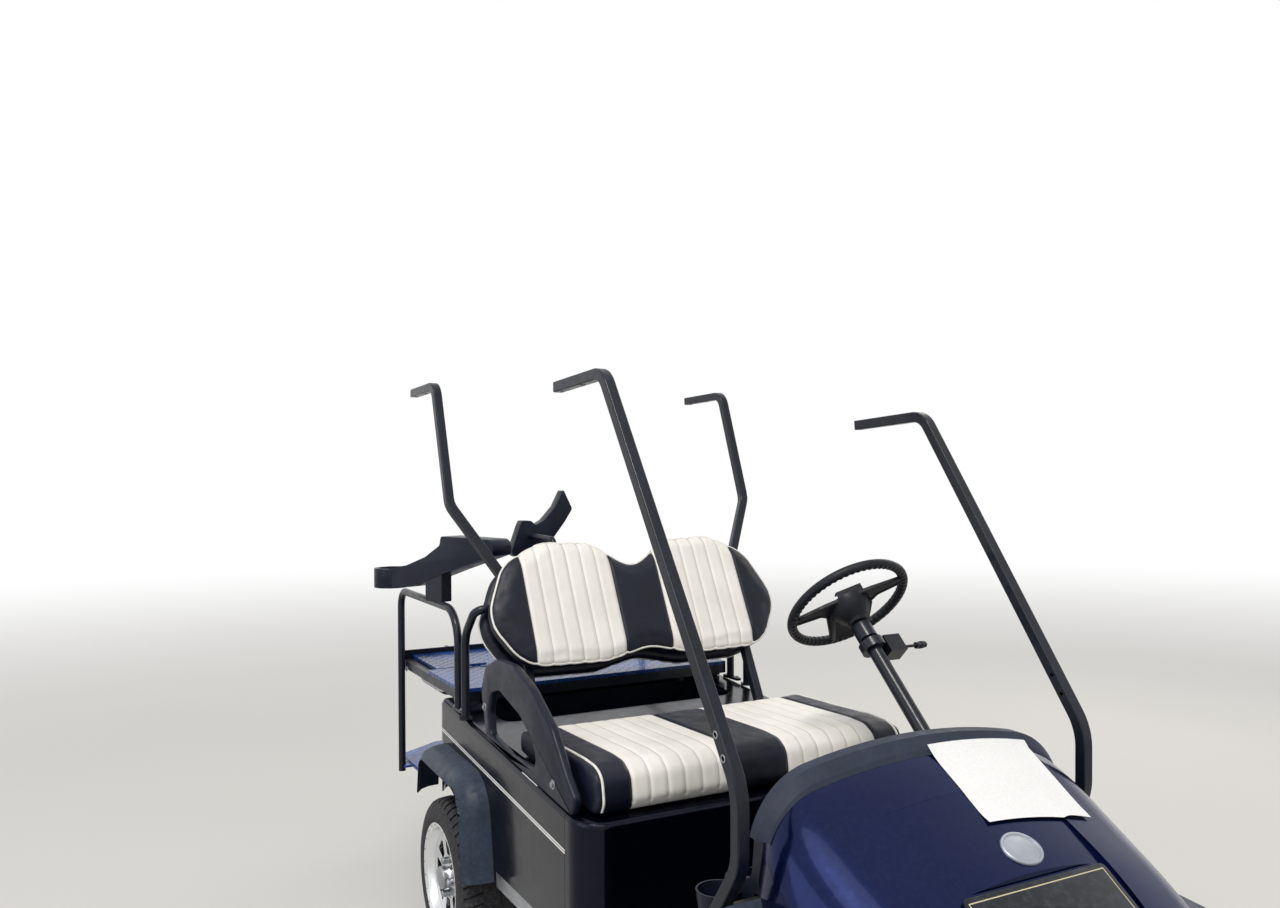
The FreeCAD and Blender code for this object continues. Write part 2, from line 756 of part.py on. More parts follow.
def cowl():
    wall = mm("cowl_wall")
    outer = cowl_loft(0, 250).cut(hood_hollow(0))
    inner = cowl_loft(wall, 240)
    inner.translate(V(0, 0.5, 0))
    inner = inner.cut(hood_hollow(wall + 1))
    front_stop = Part.makeBox(1200, 700, 900, V(-600, COWL[-1][0] + wall, 200))
    back_stop = Part.makeBox(1200, 20, 900, V(-600, COWL[0][0] - 1, 200))
    shell = outer.cut(inner.common(front_stop)).cut(back_stop)
    opening = slab([(-318, 180, 0), (-318, 300, 40), (-285, 462, 80), (-120, 536, 120),
                    (50, 545, 110), (212, 706, 0), (260, 180, 0)], side_view, -620, 620)
    shell = shell.cut(opening)
    shaped("front_cowl", shell)


def brow():
    """Dark brow that rolls over the rear edge of the cowl."""
    edge = mm("cowl_rear")
    rise = mm("brow_height")
    depth = mm("brow_depth")
    low = 726
    wires = []
    # Section of the brow: place along Y from the cowl's edge, height above the cowl
    for step, lift in ((-36, 0.5), (-28, 11), (-8, rise), (depth * 0.3, rise - 2),
                       (depth * 0.55, 8), (depth * 0.6, 0)):
        half, crown, drop, corner = cowl_at(edge + step)
        wires.append(arch_wire(edge + step, half + lift, crown + lift, drop, corner + lift, low))
    solid = Part.makeLoft(wires, True, True)
    y, half, crown, drop, corner = COWL[0]
    inside = arch_face(edge - 0.5, half - 12, crown - 12, drop, corner - 12, low - 5)
    solid = solid.cut(cowl_loft(-mm("seat_gap"), 250)).cut(inside.extrude(V(0, depth, 0)))
    below = Part.makeBox(1200, 300, 300, V(-600, 50, mm("brow_foot") - 300))
    shaped("cowl_brow", solid.cut(below))


def dash():
    """Dash with a shelf, two glove bins, two cup wells and an open cup ring."""
    floor_top = mm("rail_bottom") + mm("rail_height") + mm("floor_sheet")
    back = mm("cowl_rear") + 4
    low = floor_top + mm("toe_board_rise") + mm("seat_gap")
    step = mm("floor_front") - mm("toe_board_lean") + 27
    shelf = low - 44
    points = [(back, low, 0), (step, low, 0), (step, shelf, 0), (back + 150, shelf - 4, 20),
              (back + 176, shelf + 4, 16), (back + 180, low + 6, 14), (back + 78, low + 22, 30),
              (back + 52, 866, 14), (back, 872, 0)]
    half = mm("dash_width") / 2
    solid = slab(points, side_view, -half, half)
    y, cowl_half, crown, drop, corner = COWL[0]
    under = arch_face(back - 5, cowl_half - 16, crown - 16, drop, corner - 16, 300)
    solid = solid.common(under.extrude(V(0, 240, 0)))
    # Glove bins: left, right
    for left, right in ((-300, -20), (20, 160)):
        bin_space = slab([(left, low + 44, 16), (right, low + 44, 16), (right, 838, 16),
                          (left, 838, 16)], front_view, back + 14, back + 200)
        solid = solid.cut(bin_space)
    for middle in (-320, 320):
        solid = solid.cut(Part.makeCylinder(38, 90, V(middle, back + 128, shelf + 24), Z_AXIS))
    tilt = math.radians(mm("steer_tilt"))
    way = V(0, math.cos(tilt), math.sin(tilt))
    wheel = V(mm("steer_x"), mm("steer_y"), mm("steer_z"))
    solid = drilled(solid, mm("column_radius") + mm("running_gap"), [(wheel - way * 560, way)], 420)
    at = V(-half - 32, back + 152, shelf - 32)
    outer = Part.makeCone(40, 48, 62, at, Z_AXIS)
    inner = Part.makeCone(36, 44.5, 60, at + V(0, 0, 6), Z_AXIS)
    arm = Part.makeBox(20, 46, 22, V(-half - 2, back + 128, shelf - 4))
    shaped("dash_panel", solid.fuse([outer, arm]).cut(inner))


def bumper():
    """Dark strip that wraps the nose below the cowl."""
    front = COWL[-1][0]
    half = COWL[-1][1]
    gap = mm("seat_gap")
    points = [(-half - 8, front - gap, 0), (-half + 30, front - 34, 60), (half - 30, front - 34, 60),
              (half + 8, front - gap, 0)]
    shaped("front_bumper", slab(points, plan_view, 262, 352))


def nameplate():
    """Blank nameplate and blank oval badge that follow the hood."""
    gap = mm("seat_gap")
    half = mm("plate_width") / 2
    length = mm("plate_length")
    plate = slab([(-half, -length, 12), (half, -length, 12), (half, 0, 12), (-half, 0, 12)],
                 plan_view, gap, gap + 4)
    turn = FreeCAD.Rotation(X_AXIS, mm("plate_slope"))
    rear = -mm("plate_rear") - 4
    plate.Placement = FreeCAD.Placement(V(0, rear, plate_level(rear)), turn)
    badge = Part.Ellipse(V(mm("badge_x"), -mm("badge_y"), 500), 46, 33).toShape()
    badge = Part.Face(Part.Wire([badge])).extrude(V(0, 0, 400))
    badge = badge.common(hood_dish(gap + 5)).cut(hood_dish(gap))
    shaped("nameplate", Part.makeCompound([plate, badge]))


# Roof struts

def front_strut(sign):
    x = mm("front_strut_x") * sign
    top = mm("front_strut_top") - (mm("driver_strut_drop") if sign > 0 else 0)
    top_y = 169 + (top - 890) * 0.682
    points = [(sign * 500, 430, 362, 0), (sign * 490, 352, 470, 120), (x, 171, 742, 110),
              (x, 169, 890, 130), (x, top_y, top, 62), (x, top_y + 275, top - 14, 0)]
    tube = square_tube(points, mm("strut_side"), mm("strut_wall"))
    rise = V(0, top_y - 169, top - 890)
    rise.normalize()
    # The driver's windscreen holes sit half a pitch higher
    low = mm("windscreen_hole_rise") + (mm("windscreen_hole_pitch") / 2 if sign > 0 else 0)
    holes = [(V(x, 169, 890) + rise * step, X_AXIS)
             for step in (low, low + mm("windscreen_hole_pitch"))]
    holes += [(V(x, top_y + 275 - step, top - 13), Z_AXIS) for step in (22, 150)]
    tube = drilled(tube, mm("strut_hole_radius"), holes, 60)
    floor_top = mm("rail_bottom") + mm("rail_height") + mm("floor_sheet")
    foot = slab([(x + sign * 4, 392, 10), (x + sign * 41, 392, 10), (x + sign * 41, 480, 10),
                 (x + sign * 4, 480, 10)], plan_view, floor_top + mm("seat_gap"), 364)
    return tube.fuse(foot)


def lean_point(x, rise, depth):
    """Point in the leaning frame of the seat backs."""
    lean = math.radians(mm("back_lean"))
    y = mm("back_foot_y") + rise * math.sin(lean) + depth * math.cos(lean)
    z = mm("back_foot_z") + rise * math.cos(lean) - depth * math.sin(lean)
    return V(x, y, z)


def rear_strut(sign):
    depth = mm("back_thick") + mm("back_gap") / 2
    foot_x = sign * mm("rear_strut_foot_x")
    top_x = sign * mm("rear_strut_x")
    top = mm("rear_strut_top")
    foot = lean_point(foot_x, -196.2, depth)
    bend = lean_point(foot_x, 262, depth)
    crank = lean_point(top_x, 566, depth)
    points = [(foot.x, foot.y, foot.z, 0), (bend.x, bend.y, bend.z, 70),
              (crank.x, crank.y, crank.z, 80), (top_x, 1834, top, 52), (top_x, 2088, top - 6, 0)]
    tube = square_tube(points, mm("strut_side"), mm("strut_wall"))
    holes = [(V(top_x, 2088 - step, top - 5), Z_AXIS) for step in (22, 140)]
    tube = drilled(tube, mm("strut_hole_radius"), holes, 60)
    return tube


def struts():
    shaped("front_struts", Part.makeCompound([front_strut(sign) for side, sign in SIDES]))
    shaped("rear_struts", Part.makeCompound([rear_strut(sign) for side, sign in SIDES]))


# Seats

# Right half of a seat back outline: share of half width, share of height, corner radius
BACK_HALF = [(0.0, 0.085, 120), (0.30, 0.0, 120), (0.85, 0.012, 130), (1.045, 0.40, 120),
             (0.89, 0.84, 130), (0.62, 1.008, 120), (0.27, 0.99, 110), (0.0, 0.75, 70)]


def back_shape(thick):
    half = mm("back_width") / 2
    height = mm("back_height")
    right = [(a * half, b * height, r) for a, b, r in BACK_HALF]
    left = [(-a, b, r) for a, b, r in reversed(right[1:-1])]
    solid = slab(right + left, front_view, 0, thick)
    rims = [edge for edge in solid.Edges if edge.BoundBox.YLength < 0.01]
    return solid.makeFillet(min(22.0, thick * 0.3), rims)


def seats():
    lean = FreeCAD.Rotation(X_AXIS, -mm("back_lean"))
    foot = lean_point(0, -4, 0)
    shaped("seat_back", back_shape(mm("back_thick") - mm("seat_gap")), tuple(foot), lean)
    foot = lean_point(0, -4, mm("back_thick") + mm("back_gap") + mm("seat_gap"))
    shaped("rear_seat_back", back_shape(mm("rear_back_thick")), tuple(foot), lean)
    front = mm("cushion_front")
    rear = front + mm("cushion_depth")
    low = body_top(front)
    rise = mm("cushion_height")
    seat = 0.5
    points = [(front + 18, body_top(front + 18) + seat, 14), (front - 8, low + 36, 30),
              (front + 4, low + rise + 14, 44), (front + 110, low + rise + 22, 200),
              (rear, body_top(rear) + 74, 30), (rear, body_top(rear) + seat, 12)]
    half = mm("cushion_width") / 2
    solid = slab(points, side_view, -half, half)
    ends = [edge for edge in solid.Edges if edge.BoundBox.XLength < 0.01]
    shaped("seat_cushion", solid.makeFillet(10, ends))


def back_brackets():
    """Bars between the seat backs, and the bent side tubes that carry them."""
    depth = mm("back_thick") + mm("seat_gap")
    thick = mm("back_gap") - mm("seat_gap")
    lean = FreeCAD.Rotation(X_AXIS, -mm("back_lean"))
    inner = mm("rear_strut_foot_x") - mm("strut_side") / 2
    pieces = []
    for rise in (70, 196):
        pieces.append(Part.makeBox(2 * inner - 0.4, thick, 40, V(-inner + 0.2, depth, rise)))
    outer = mm("back_width") / 2 - 30
    for sign in (-1, 1):
        low_x = inner + mm("strut_side") + 0.2 if sign > 0 else -outer
        pieces.append(Part.makeBox(outer - inner - mm("strut_side") - 0.2, thick, 40,
                                   V(low_x, depth, 196)))
    foot = lean_point(0, 0, 0)
    bars = Part.makeCompound(pieces)
    bars.Placement = FreeCAD.Placement(foot, lean)
    tube = mm("kit_tube") / 2
    x = mm("back_width") / 2 + 11 + tube
    y = mm("kit_front_y") - 94
    end = lean_point(0, 216, depth + thick / 2)
    tubes = []
    for sign in (-1, 1):
        tubes.append(round_tube([(sign * x, y, body_top(y) + 8, 0), (sign * x, y, 985, 96),
                                 (sign * x, end.y, end.z, 30),
                                 (sign * (outer - 8), end.y, end.z, 0)], tube))
        tubes.append(Part.makeCylinder(tube + 8, 8, V(sign * x, y, body_top(y + tube + 8) + 0.3),
                                       Z_AXIS))
    shaped("seat_back_brackets", Part.makeCompound([bars] + tubes))


def hip_restraint():
    """Moulded loop beside the passenger's hip."""
    x = -mm("hip_x")
    half = mm("hip_thick") / 2
    foot = mm("seat_gap")
    outer = [(1492, 848, 40), (1452, 922, 50), (1358, 957, 90), (1225, 958, 120),
             (1096, 920, 150), (958, 842, 120), (868, 744, 50), (812, 698, 22),
             (838, body_top(838) + foot, 14), (1450, body_top(1450) + foot, 24)]
    loop = slab(outer, side_view, x - half, x + half)
    hole = [(1404, 850, 24), (1340, 868, 40), (1176, 829, 80), (1084, 780, 36), (1062, 736, 20),
            (1082, 712, 16), (1250, 704, 90), (1414, 728, 24), (1426, 790, 30)]
    loop = loop.cut(slab(hole, side_view, x - 40, x + 40))
    shaped("hip_restraint", loop)


# Rear seat kit

def side_frame(sign):
    x = sign * mm("kit_x")
    front = mm("kit_front_y")
    rear = mm("kit_rear_y")
    rail = mm("kit_rail_z")
    radius = mm("kit_tube") / 2
    plate = mm("foot_plate_top")
    hoop = round_tube([(x, rear, plate - 30, 0), (x, rear, rail, 62), (x, front, rail, 112),
                       (x, front, body_top(front) + 8, 0)], radius)
    foot = slab([(x - 12, front - 60, 6), (x + 9, front - 60, 6), (x + 9, front + 36, 6),
                 (x - 12, front + 36, 6)], plan_view, body_top(front + 36) + 0.3,
                body_top(front + 36) + 9)
    return hoop.fuse([foot, armrest_block()] if sign < 0 else [foot])


def side_frames():
    shaped("kit_side_frames", Part.makeCompound([side_frame(sign) for side, sign in SIDES]))


def deck_frame():
    rail = size("deck_rail")
    top = size("deck_top") - size("deck_sheet") - size("seat_gap")
    x = size("deck_rail_x")
    half = rail / 2
    front = size("deck_front")
    rear = size("deck_rear") + size("travel_gap")
    leg_low = size("body_top") + (front + 80 - size("pod_front")) * size("body_top_slope") + 0.3
    pieces = []
    for side, sign in SIDES:
        middle = x if sign > 0 else -x
        pieces.append(box(f"deck_rail_{side}", (middle - half, middle + half),
                          (front, rear), (top - rail, top)))
        # Lug under the rear corner of the folding panel
        low_x = x - half - 18 if sign > 0 else -x + half
        pieces.append(box(f"deck_lug_{side}", (low_x, low_x + 18), (rear - 60, rear - 30),
                          (top - rail, top)))
        pieces.append(box(f"deck_leg_{side}", (middle - half, middle + half),
                          (front + 40, front + 80), (leg_low, top - rail)))
    pieces.append(box("deck_front_bar", (-x, x), (front, front + rail), (top - rail, top)))
    pieces.append(box("deck_middle_bar", (-x, x), (size("deck_seam") - 60, size("deck_seam") - 30),
                      (top - rail, top)))
    pieces.append(box("deck_rear_flange", (-x - half, x + half), (rear, rear + 8),
                      (top - rail, size("deck_top") + 18)))
    pieces.append(rod("latch_knob", 11, 22, (-320, rear + 7, size("deck_top") + 8), Y_AXIS))
    fused("deck_frame", pieces)


def deck_panels():
    top = size("deck_top")
    sheet_low = top - size("deck_sheet")
    half = size("deck_rail_x") + size("deck_rail") / 2
    fixed = box("deck_fixed_box", (-half, half), (size("deck_front"), size("deck_seam") - 5),
                (sheet_low, top))
    line = size("deck_seam")
    knuckles = {"fixed": [fixed], "fold": []}
    # Hinge knuckles across the seam: owner, middle along X, length
    pattern = [("fixed", -31, 30), ("fold", 0, 30), ("fixed", 31, 30)]
    for number, hinge_x in enumerate((-330, 0, 330)):
        for owner, offset, length in pattern:
            start = hinge_x + offset - length / 2
            leaf = (line - 34, line) if owner == "fixed" else (line, line + 34)
            tag = f"{owner}_{number}_{offset + 31}"
            barrel = rod(f"barrel_{tag}", 3.4, length, (start, line, top + 3.5), X_AXIS)
            flat = box(f"leaf_{tag}", (start, start + length), leaf, (top + 0.1, top + 2))
            knuckles[owner] += [barrel, flat]
    fused("deck_fixed_panel", knuckles["fixed"])
    inner = size("deck_rail_x") - size("deck_rail") / 2 - size("travel_gap")
    fold = box("deck_fold_box", (-inner, inner), (size("deck_seam") + 5, size("deck_rear")),
               (sheet_low, top))
    fused("deck_fold_panel", [fold] + knuckles["fold"])
    cushion = box("fold_cushion_box", (-(inner - 20), inner - 20),
                  (size("deck_seam") + 28, size("deck_rear") - 14),
                  (sheet_low - size("fold_cushion_height"), sheet_low - size("seat_gap")))
    fillet = doc.addObject("Part::Fillet", "fold_cushion_round")
    doc.recompute()
    fillet.Base = cushion
    edges = [i for i, edge in enumerate(cushion.Shape.Edges, start=1)
             if edge.BoundBox.ZMax < float(sheet_low) - 20 or edge.BoundBox.ZLength > 20]
    fillet.Edges = [(i, 18.0, 18.0) for i in edges]
    keep(fillet, "fold_cushion")


def foot_plate():
    top = mm("foot_plate_top")
    sheet_low = top - mm("foot_plate_sheet")
    half = mm("foot_plate_width") / 2
    front = mm("foot_plate_front")
    rear = mm("foot_plate_rear")
    plate = slab([(-half, front, 14), (half, front, 14), (half, rear - 118, 30),
                  (half - 170, rear, 40), (-half + 170, rear, 40), (-half, rear - 118, 30)],
                 plan_view, sheet_low, top)
    x = mm("kit_x")
    y = mm("kit_rear_y")
    for sign in (-1, 1):
        ear = slab([(sign * half - 30, y - 30, 8), (sign * half + 54, y - 30, 8),
                    (sign * half + 54, y + 30, 8), (sign * half - 30, y + 30, 8)],
                   plan_view, sheet_low, top - 6)
        plate = plate.fuse(ear)
        plate = plate.cut(Part.makeCylinder(mm("kit_tube") / 2 + mm("seat_gap"), 60,
                                            V(sign * x, y, sheet_low - 10), Z_AXIS))
    middle = mm("rail_spacing") / 2
    start = mm("wheelbase") + mm("rail_rear") + mm("seat_gap")
    for sign in (-1, 1):
        plate = plate.fuse(Part.makeBox(34, rear - 70 - start, 34,
                                        V(sign * middle - 17, start, sheet_low - 34)))
    shaped("foot_plate", plate.removeSplitter())


# Rear armrests: a raised pad, a notch and a neck down to a cup ring

# Underside of the armrest, and its top with the raised pad: along, up, corner radius
ARM_UNDER = [(560, -60, 10), (430, -50, 50), (210, 18, 80), (100, 50, 60), (0, 78, 20)]
ARM_TOP = [(4, 127, 30), (262, 130, 10), (270, 99, 12), (348, 57, 60), (450, 24, 30), (560, 5, 10)]

# The other armrest stands on edge: across, up, corner radius
UPRIGHT_ARM = [(-262, 1312, 8), (-254, 1327, 6), (-223, 1326, 6), (-205, 1311, 8),
               (-175, 1326, 30), (-132, 1373, 30), (-102, 1431, 3), (-69, 1364, 12),
               (-96, 1322, 60), (-158, 1243, 60), (-205, 1200, 20), (-300, 1206, 20)]


def armrest_frame():
    """Place of the passenger's armrest: front end on the rail side of the strut."""
    return FreeCAD.Placement(V(-385, 1670, mm("armrest_z")), FreeCAD.Rotation(Z_AXIS, 21.35))


def armrest_block():
    """Block from the side frame's top rail up to the underside of the armrest."""
    low = mm("kit_rail_z") + mm("kit_tube") / 2 - 4 - mm("armrest_z")
    gap = mm("seat_gap")
    rear, front = ARM_UNDER[1], ARM_UNDER[2]
    slope = (rear[1] - front[1]) / (rear[0] - front[0])
    points = [(y, front[1] + (y - front[0]) * slope - gap, 0) for y in (262, 348)]
    block = slab([(262, low, 6)] + points + [(348, low, 6)], side_view, -38, 4)
    block.Placement = armrest_frame()
    return block


def armrests():
    arm = slab(ARM_UNDER + ARM_TOP, side_view, -40, 40)
    arm = arm.fuse(Part.makeCylinder(62, 68, V(0, 590, -63), Z_AXIS))
    near = arm.cut(Part.makeCylinder(47, 70, V(0, 590, -57), Z_AXIS)).removeSplitter()
    near.Placement = armrest_frame()
    far = slab(UPRIGHT_ARM, front_view, 1828, 1872)
    # Post that carries it, up from between the two seat backs
    depth = mm("back_thick") + mm("back_gap") / 2
    low = lean_point(-225, 236.3, depth)
    high = lean_point(-225, 436, depth)
    post = round_tube([(low.x, low.y, low.z, 0), (high.x, high.y, high.z, 22),
                       (-225, 1840, high.z + 2, 0)], 10)
    far = far.fuse(post)
    shaped("rear_armrests", Part.makeCompound([near, far]))


# Steering

def steering():
    at = (mm("steer_x"), mm("steer_y"), mm("steer_z"))
    turn = FreeCAD.Rotation(X_AXIS, -(90 - mm("steer_tilt")))
    radius = mm("steer_radius")
    grip = mm("steer_grip")
    rim = Part.makeTorus(radius, grip)
    hub = Part.makeCone(26, 44, 46, V(0, 0, -52), Z_AXIS)
    trough = slab([(-58, -34, 14), (58, -34, 14), (58, 34, 14), (-58, 34, 14)], plan_view, -12, 4)
    spokes = slab([(-radius, -22, 0), (radius, -22, 0), (radius, 10, 0), (-radius, 10, 0)],
                  plan_view, -8, 0)
    wheel = rim.fuse([hub, trough, spokes])
    ball = Part.makeBox(600, 600, 60, V(-300, -300, -55)).common(
        Part.makeCylinder(radius + grip, 60, V(0, 0, -55), Z_AXIS))
    wheel = wheel.common(ball.fuse(rim))
    bore = Part.makeCylinder(mm("column_shaft") + mm("running_gap"), 41, V(0, 0, -60), Z_AXIS)
    shaped("steering_wheel", wheel.cut(bore), at, turn)
    tube = Part.makeCylinder(mm("column_radius"), 430, V(0, 0, -500), Z_AXIS)
    collar = Part.makeCylinder(27, 44, V(0, 0, -118), Z_AXIS)
    shaft = Part.makeCylinder(mm("column_shaft"), 1150, V(0, 0, -1170), Z_AXIS)
    clamp = Part.makeCylinder(34, 24, V(0, 0, -152), Z_AXIS)
    case = Part.makeBox(54, 46, 50, V(33, -20, -172))
    lever = Part.makeCylinder(4, 60, V(86, 3, -150), X_AXIS)
    knob = Part.makeCone(9, 7, 34, V(142, 3, -150), X_AXIS)
    upper = tube.fuse([collar, shaft, clamp, case, lever, knob])
    upper.Placement = FreeCAD.Placement(V(*at), turn)
    rail_side = mm("rail_spacing") / 2 + mm("rail_width") / 2
    gear = Part.makeBox(34, 90, 74, V(rail_side + mm("seat_gap"), -140, mm("rail_bottom")))
    shaped("steering_column", upper.fuse(gear))


def pedals():
    floor_top = mm("rail_bottom") + mm("rail_height") + mm("floor_sheet")
    front = mm("floor_front")
    pieces = []
    # Pedals: middle, width, pad height
    for middle, width, tall in ((196, 120, 74), (352, 74, 120)):
        pad = Part.makeBox(width, 10, tall, V(-width / 2, -5, -tall / 2))
        pad.Placement = FreeCAD.Placement(V(middle, front + 62, floor_top + 100),
                                          FreeCAD.Rotation(X_AXIS, 28))
        stem = round_tube([(middle, front + 62, floor_top + 100, 0),
                           (middle, front + 70, floor_top + 40, 30),
                           (middle, front + 64, floor_top + 4, 0)], 8)
        shoe = Part.makeBox(50, 44, 8, V(middle - 25, front + 44, floor_top + mm("seat_gap")))
        pieces.append(pad.fuse([stem, shoe]))
    shaped("pedals", Part.makeCompound(pieces))


# Front suspension, knuckles and tie rod

def kingpin_x():
    return size("front_track") / 2 - size("kingpin_offset")


def front_suspension():
    x = float(kingpin_x())
    z = mm("tyre_radius")
    half_height = mm("knuckle_height") / 2
    pin = mm("kingpin_radius")
    rail_top = mm("rail_bottom") + mm("rail_height")
    pieces = []
    spring_ends = [(-x, z + half_height + 13), (x, z + half_height + 13)]
    crest = rail_top + 32
    arc = Part.Arc(V(-x, 0, spring_ends[0][1]), V(0, 0, crest), V(x, 0, spring_ends[1][1]))
    lower = arc.toShape()
    strip = lower.extrude(V(0, 62, 0))
    strip.translate(V(0, -31, 0))
    leaf = strip.extrude(V(0, 0, 9))
    pieces.append(leaf)
    pieces.append(Part.makeBox(150, 74, 8, V(-75, -37, crest + 9)))
    pieces.append(Part.makeBox(150, 90, crest - rail_top + 42, V(-75, -45, rail_top - 44)))
    pieces.append(Part.makeBox(2 * 185, 60, 24, V(-185, -30, rail_top - 44)))
    for sign in (-1, 1):
        eye = Part.makeCylinder(24, 14, V(sign * x, 0, z + half_height + 0.5), Z_AXIS)
        low_eye = Part.makeCylinder(24, 14, V(sign * x, 0, z - half_height - 14.5), Z_AXIS)
        king = Part.makeCylinder(pin, 2 * half_height + 32, V(sign * x, 0, z - half_height - 16),
                                 Z_AXIS)
        arm = slab([(sign * x, -24, 0), (sign * 170, -70, 0), (sign * 130, -70, 0),
                    (sign * 130, 70, 0), (sign * 170, 70, 0), (sign * x, 24, 0)],
                   plan_view, z - half_height - 14.5, z - half_height - 0.5)
        window = slab([(sign * (x - 70), -10, 0), (sign * 190, -42, 0), (sign * 190, 42, 0),
                       (sign * (x - 70), 10, 0)], plan_view, 0, 400)
        hanger = Part.makeBox(30, 130, mm("rail_bottom") - (z - half_height - 0.5),
                              V(sign * 150 - 15, -65, z - half_height - 0.5))
        pieces += [eye, low_eye, king, arm.cut(window), hanger]
    base = Part.makeBox(2 * 175, 60, 20, V(-175, -30, mm("rail_bottom") - 20))
    pieces.append(base)
    whole = pieces[0].fuse(pieces[1:])
    shaped("front_suspension", whole.removeSplitter())


def knuckle(side, sign):
    """Upright, stub axle and steering arm of one front wheel."""
    z = size("tyre_radius")
    half_height = size("knuckle_height") / 2
    x = kingpin_x()
    middle = x if sign > 0 else -x
    upright = rod(f"upright_{side}", size("knuckle_radius"), size("knuckle_height"),
                  (middle, 0, z - half_height), Z_AXIS)
    reach = size("kingpin_offset") + size("tyre_width") / 2 - size("rim_dish") - 22
    stub = rod(f"stub_{side}", size("spindle_radius"), reach, (middle, 0, z), V(sign, 0, 0))
    arm_in = middle - 12
    arm = box(f"steer_arm_{side}", (arm_in, arm_in + 24), (0, size("steer_arm")),
              (z - half_height + 6, z - half_height + 18))
    eye = rod(f"arm_eye_{side}", 17, 12, (middle, size("steer_arm"), z - half_height + 6), Z_AXIS)
    solid = doc.addObject("Part::MultiFuse", f"knuckle_{side}_fused")
    solid.Shapes = [upright, stub, arm, eye]
    bore = rod(f"kingpin_bore_{side}", size("kingpin_radius") + size("running_gap"),
               size("knuckle_height") + 20, (middle, 0, z - half_height - 10), Z_AXIS)
    keep(cut_from(f"knuckle_{side}_cut", solid, bore), f"front_knuckle_{side}")


def tie_rod():
    """Rod between the two steering arms; its eyes lie just under the arm eyes."""
    x = kingpin_x()
    z = size("tyre_radius") - size("knuckle_height") / 2 + 6 - size("running_gap")
    y = size("steer_arm")
    bar = rod("tie_bar", 9, x * 2, (-x, y, z - 12), X_AXIS)
    ends = [rod(f"tie_eye_{side}", 19, 22, (x if sign > 0 else -x, y, z - 22), Z_AXIS)
            for side, sign in SIDES]
    fused("tie_rod", [bar] + ends)


# Rear axle and springs

def rear_axle():
    z = size("tyre_radius")
    y = size("wheelbase")
    half = size("rear_track") / 2
    inner = half - size("tyre_width") / 2
    tube = rod("axle_tube_rod", size("axle_tube"), inner * 2, (-inner, y, z), X_AXIS)
    reach = half + size("tyre_width") / 2 - size("rim_dish") - 22
    stub = rod("axle_stub_rod", size("spindle_radius"), reach * 2, (-reach, y, z), X_AXIS)
    drums = [rod(f"drum_{side}", size("drum_radius"), 56,
                 (inner + 4 if sign > 0 else -inner - 4 - 56, y, z), X_AXIS)
             for side, sign in SIDES]
    ball = doc.addObject("Part::Sphere", "differential_ball")
    ball.Radius = 96
    place(ball, (60, y, z))
    nose = rod("gear_case", 62, 150, (60, y, z), V(0, -1, 0))
    motor = rod("motor_case", 80, 210, (96, y - 190, z), X_AXIS)
    fused("rear_axle", [tube, stub, ball, nose, motor, rear_springs()] + drums)


def rear_springs():
    x = mm("rail_spacing") / 2 + mm("rail_width") / 2 + 38
    y = mm("wheelbase")
    z = mm("tyre_radius") + mm("axle_tube") + mm("seat_gap")
    rail_low = mm("rail_bottom")
    pieces = []
    for sign in (-1, 1):
        stack = []
        # Leaves from the longest: half length, sag of the leaf
        for i, (reach, sag) in enumerate(((400, 36), (290, 20), (180, 8))):
            level = z + 14 - i * 7
            arc = Part.Arc(V(sign * x - 22, y - reach, level + sag),
                           V(sign * x - 22, y, level), V(sign * x - 22, y + reach, level + sag))
            stack.append(arc.toShape().extrude(V(44, 0, 0)).extrude(V(0, 0, 7)))
        pad = Part.makeBox(64, 96, 14.5, V(sign * x - 32, y - 48, z))
        spring = stack[0].fuse(stack[1:] + [pad])
        for end in (-400, 392):
            eye = Part.makeCylinder(15, 44, V(sign * x - 22, y + end, z + 14 + 38), X_AXIS)
            low_x = mm("rail_spacing") / 2 + mm("rail_width") / 2 + mm("seat_gap")
            near = low_x if sign > 0 else -low_x - 60
            hanger = Part.makeBox(60, 36, 40, V(near, y + end - 18, z + 14 + 36))
            spring = spring.fuse([eye, hanger])
        pieces.append(spring)
    return shaped("rear_springs", Part.makeCompound(pieces), export=False)


def battery():
    half = size("battery_width") / 2
    floor_top = size("rail_bottom") + size("rail_height")
    front = size("pod_front") + 110
    block = box("battery_box", (-half, half), (front, front + size("battery_depth")),
                (floor_top + size("seat_gap"), floor_top + size("battery_height")))
    keep(block, "battery_block")


# Wheels

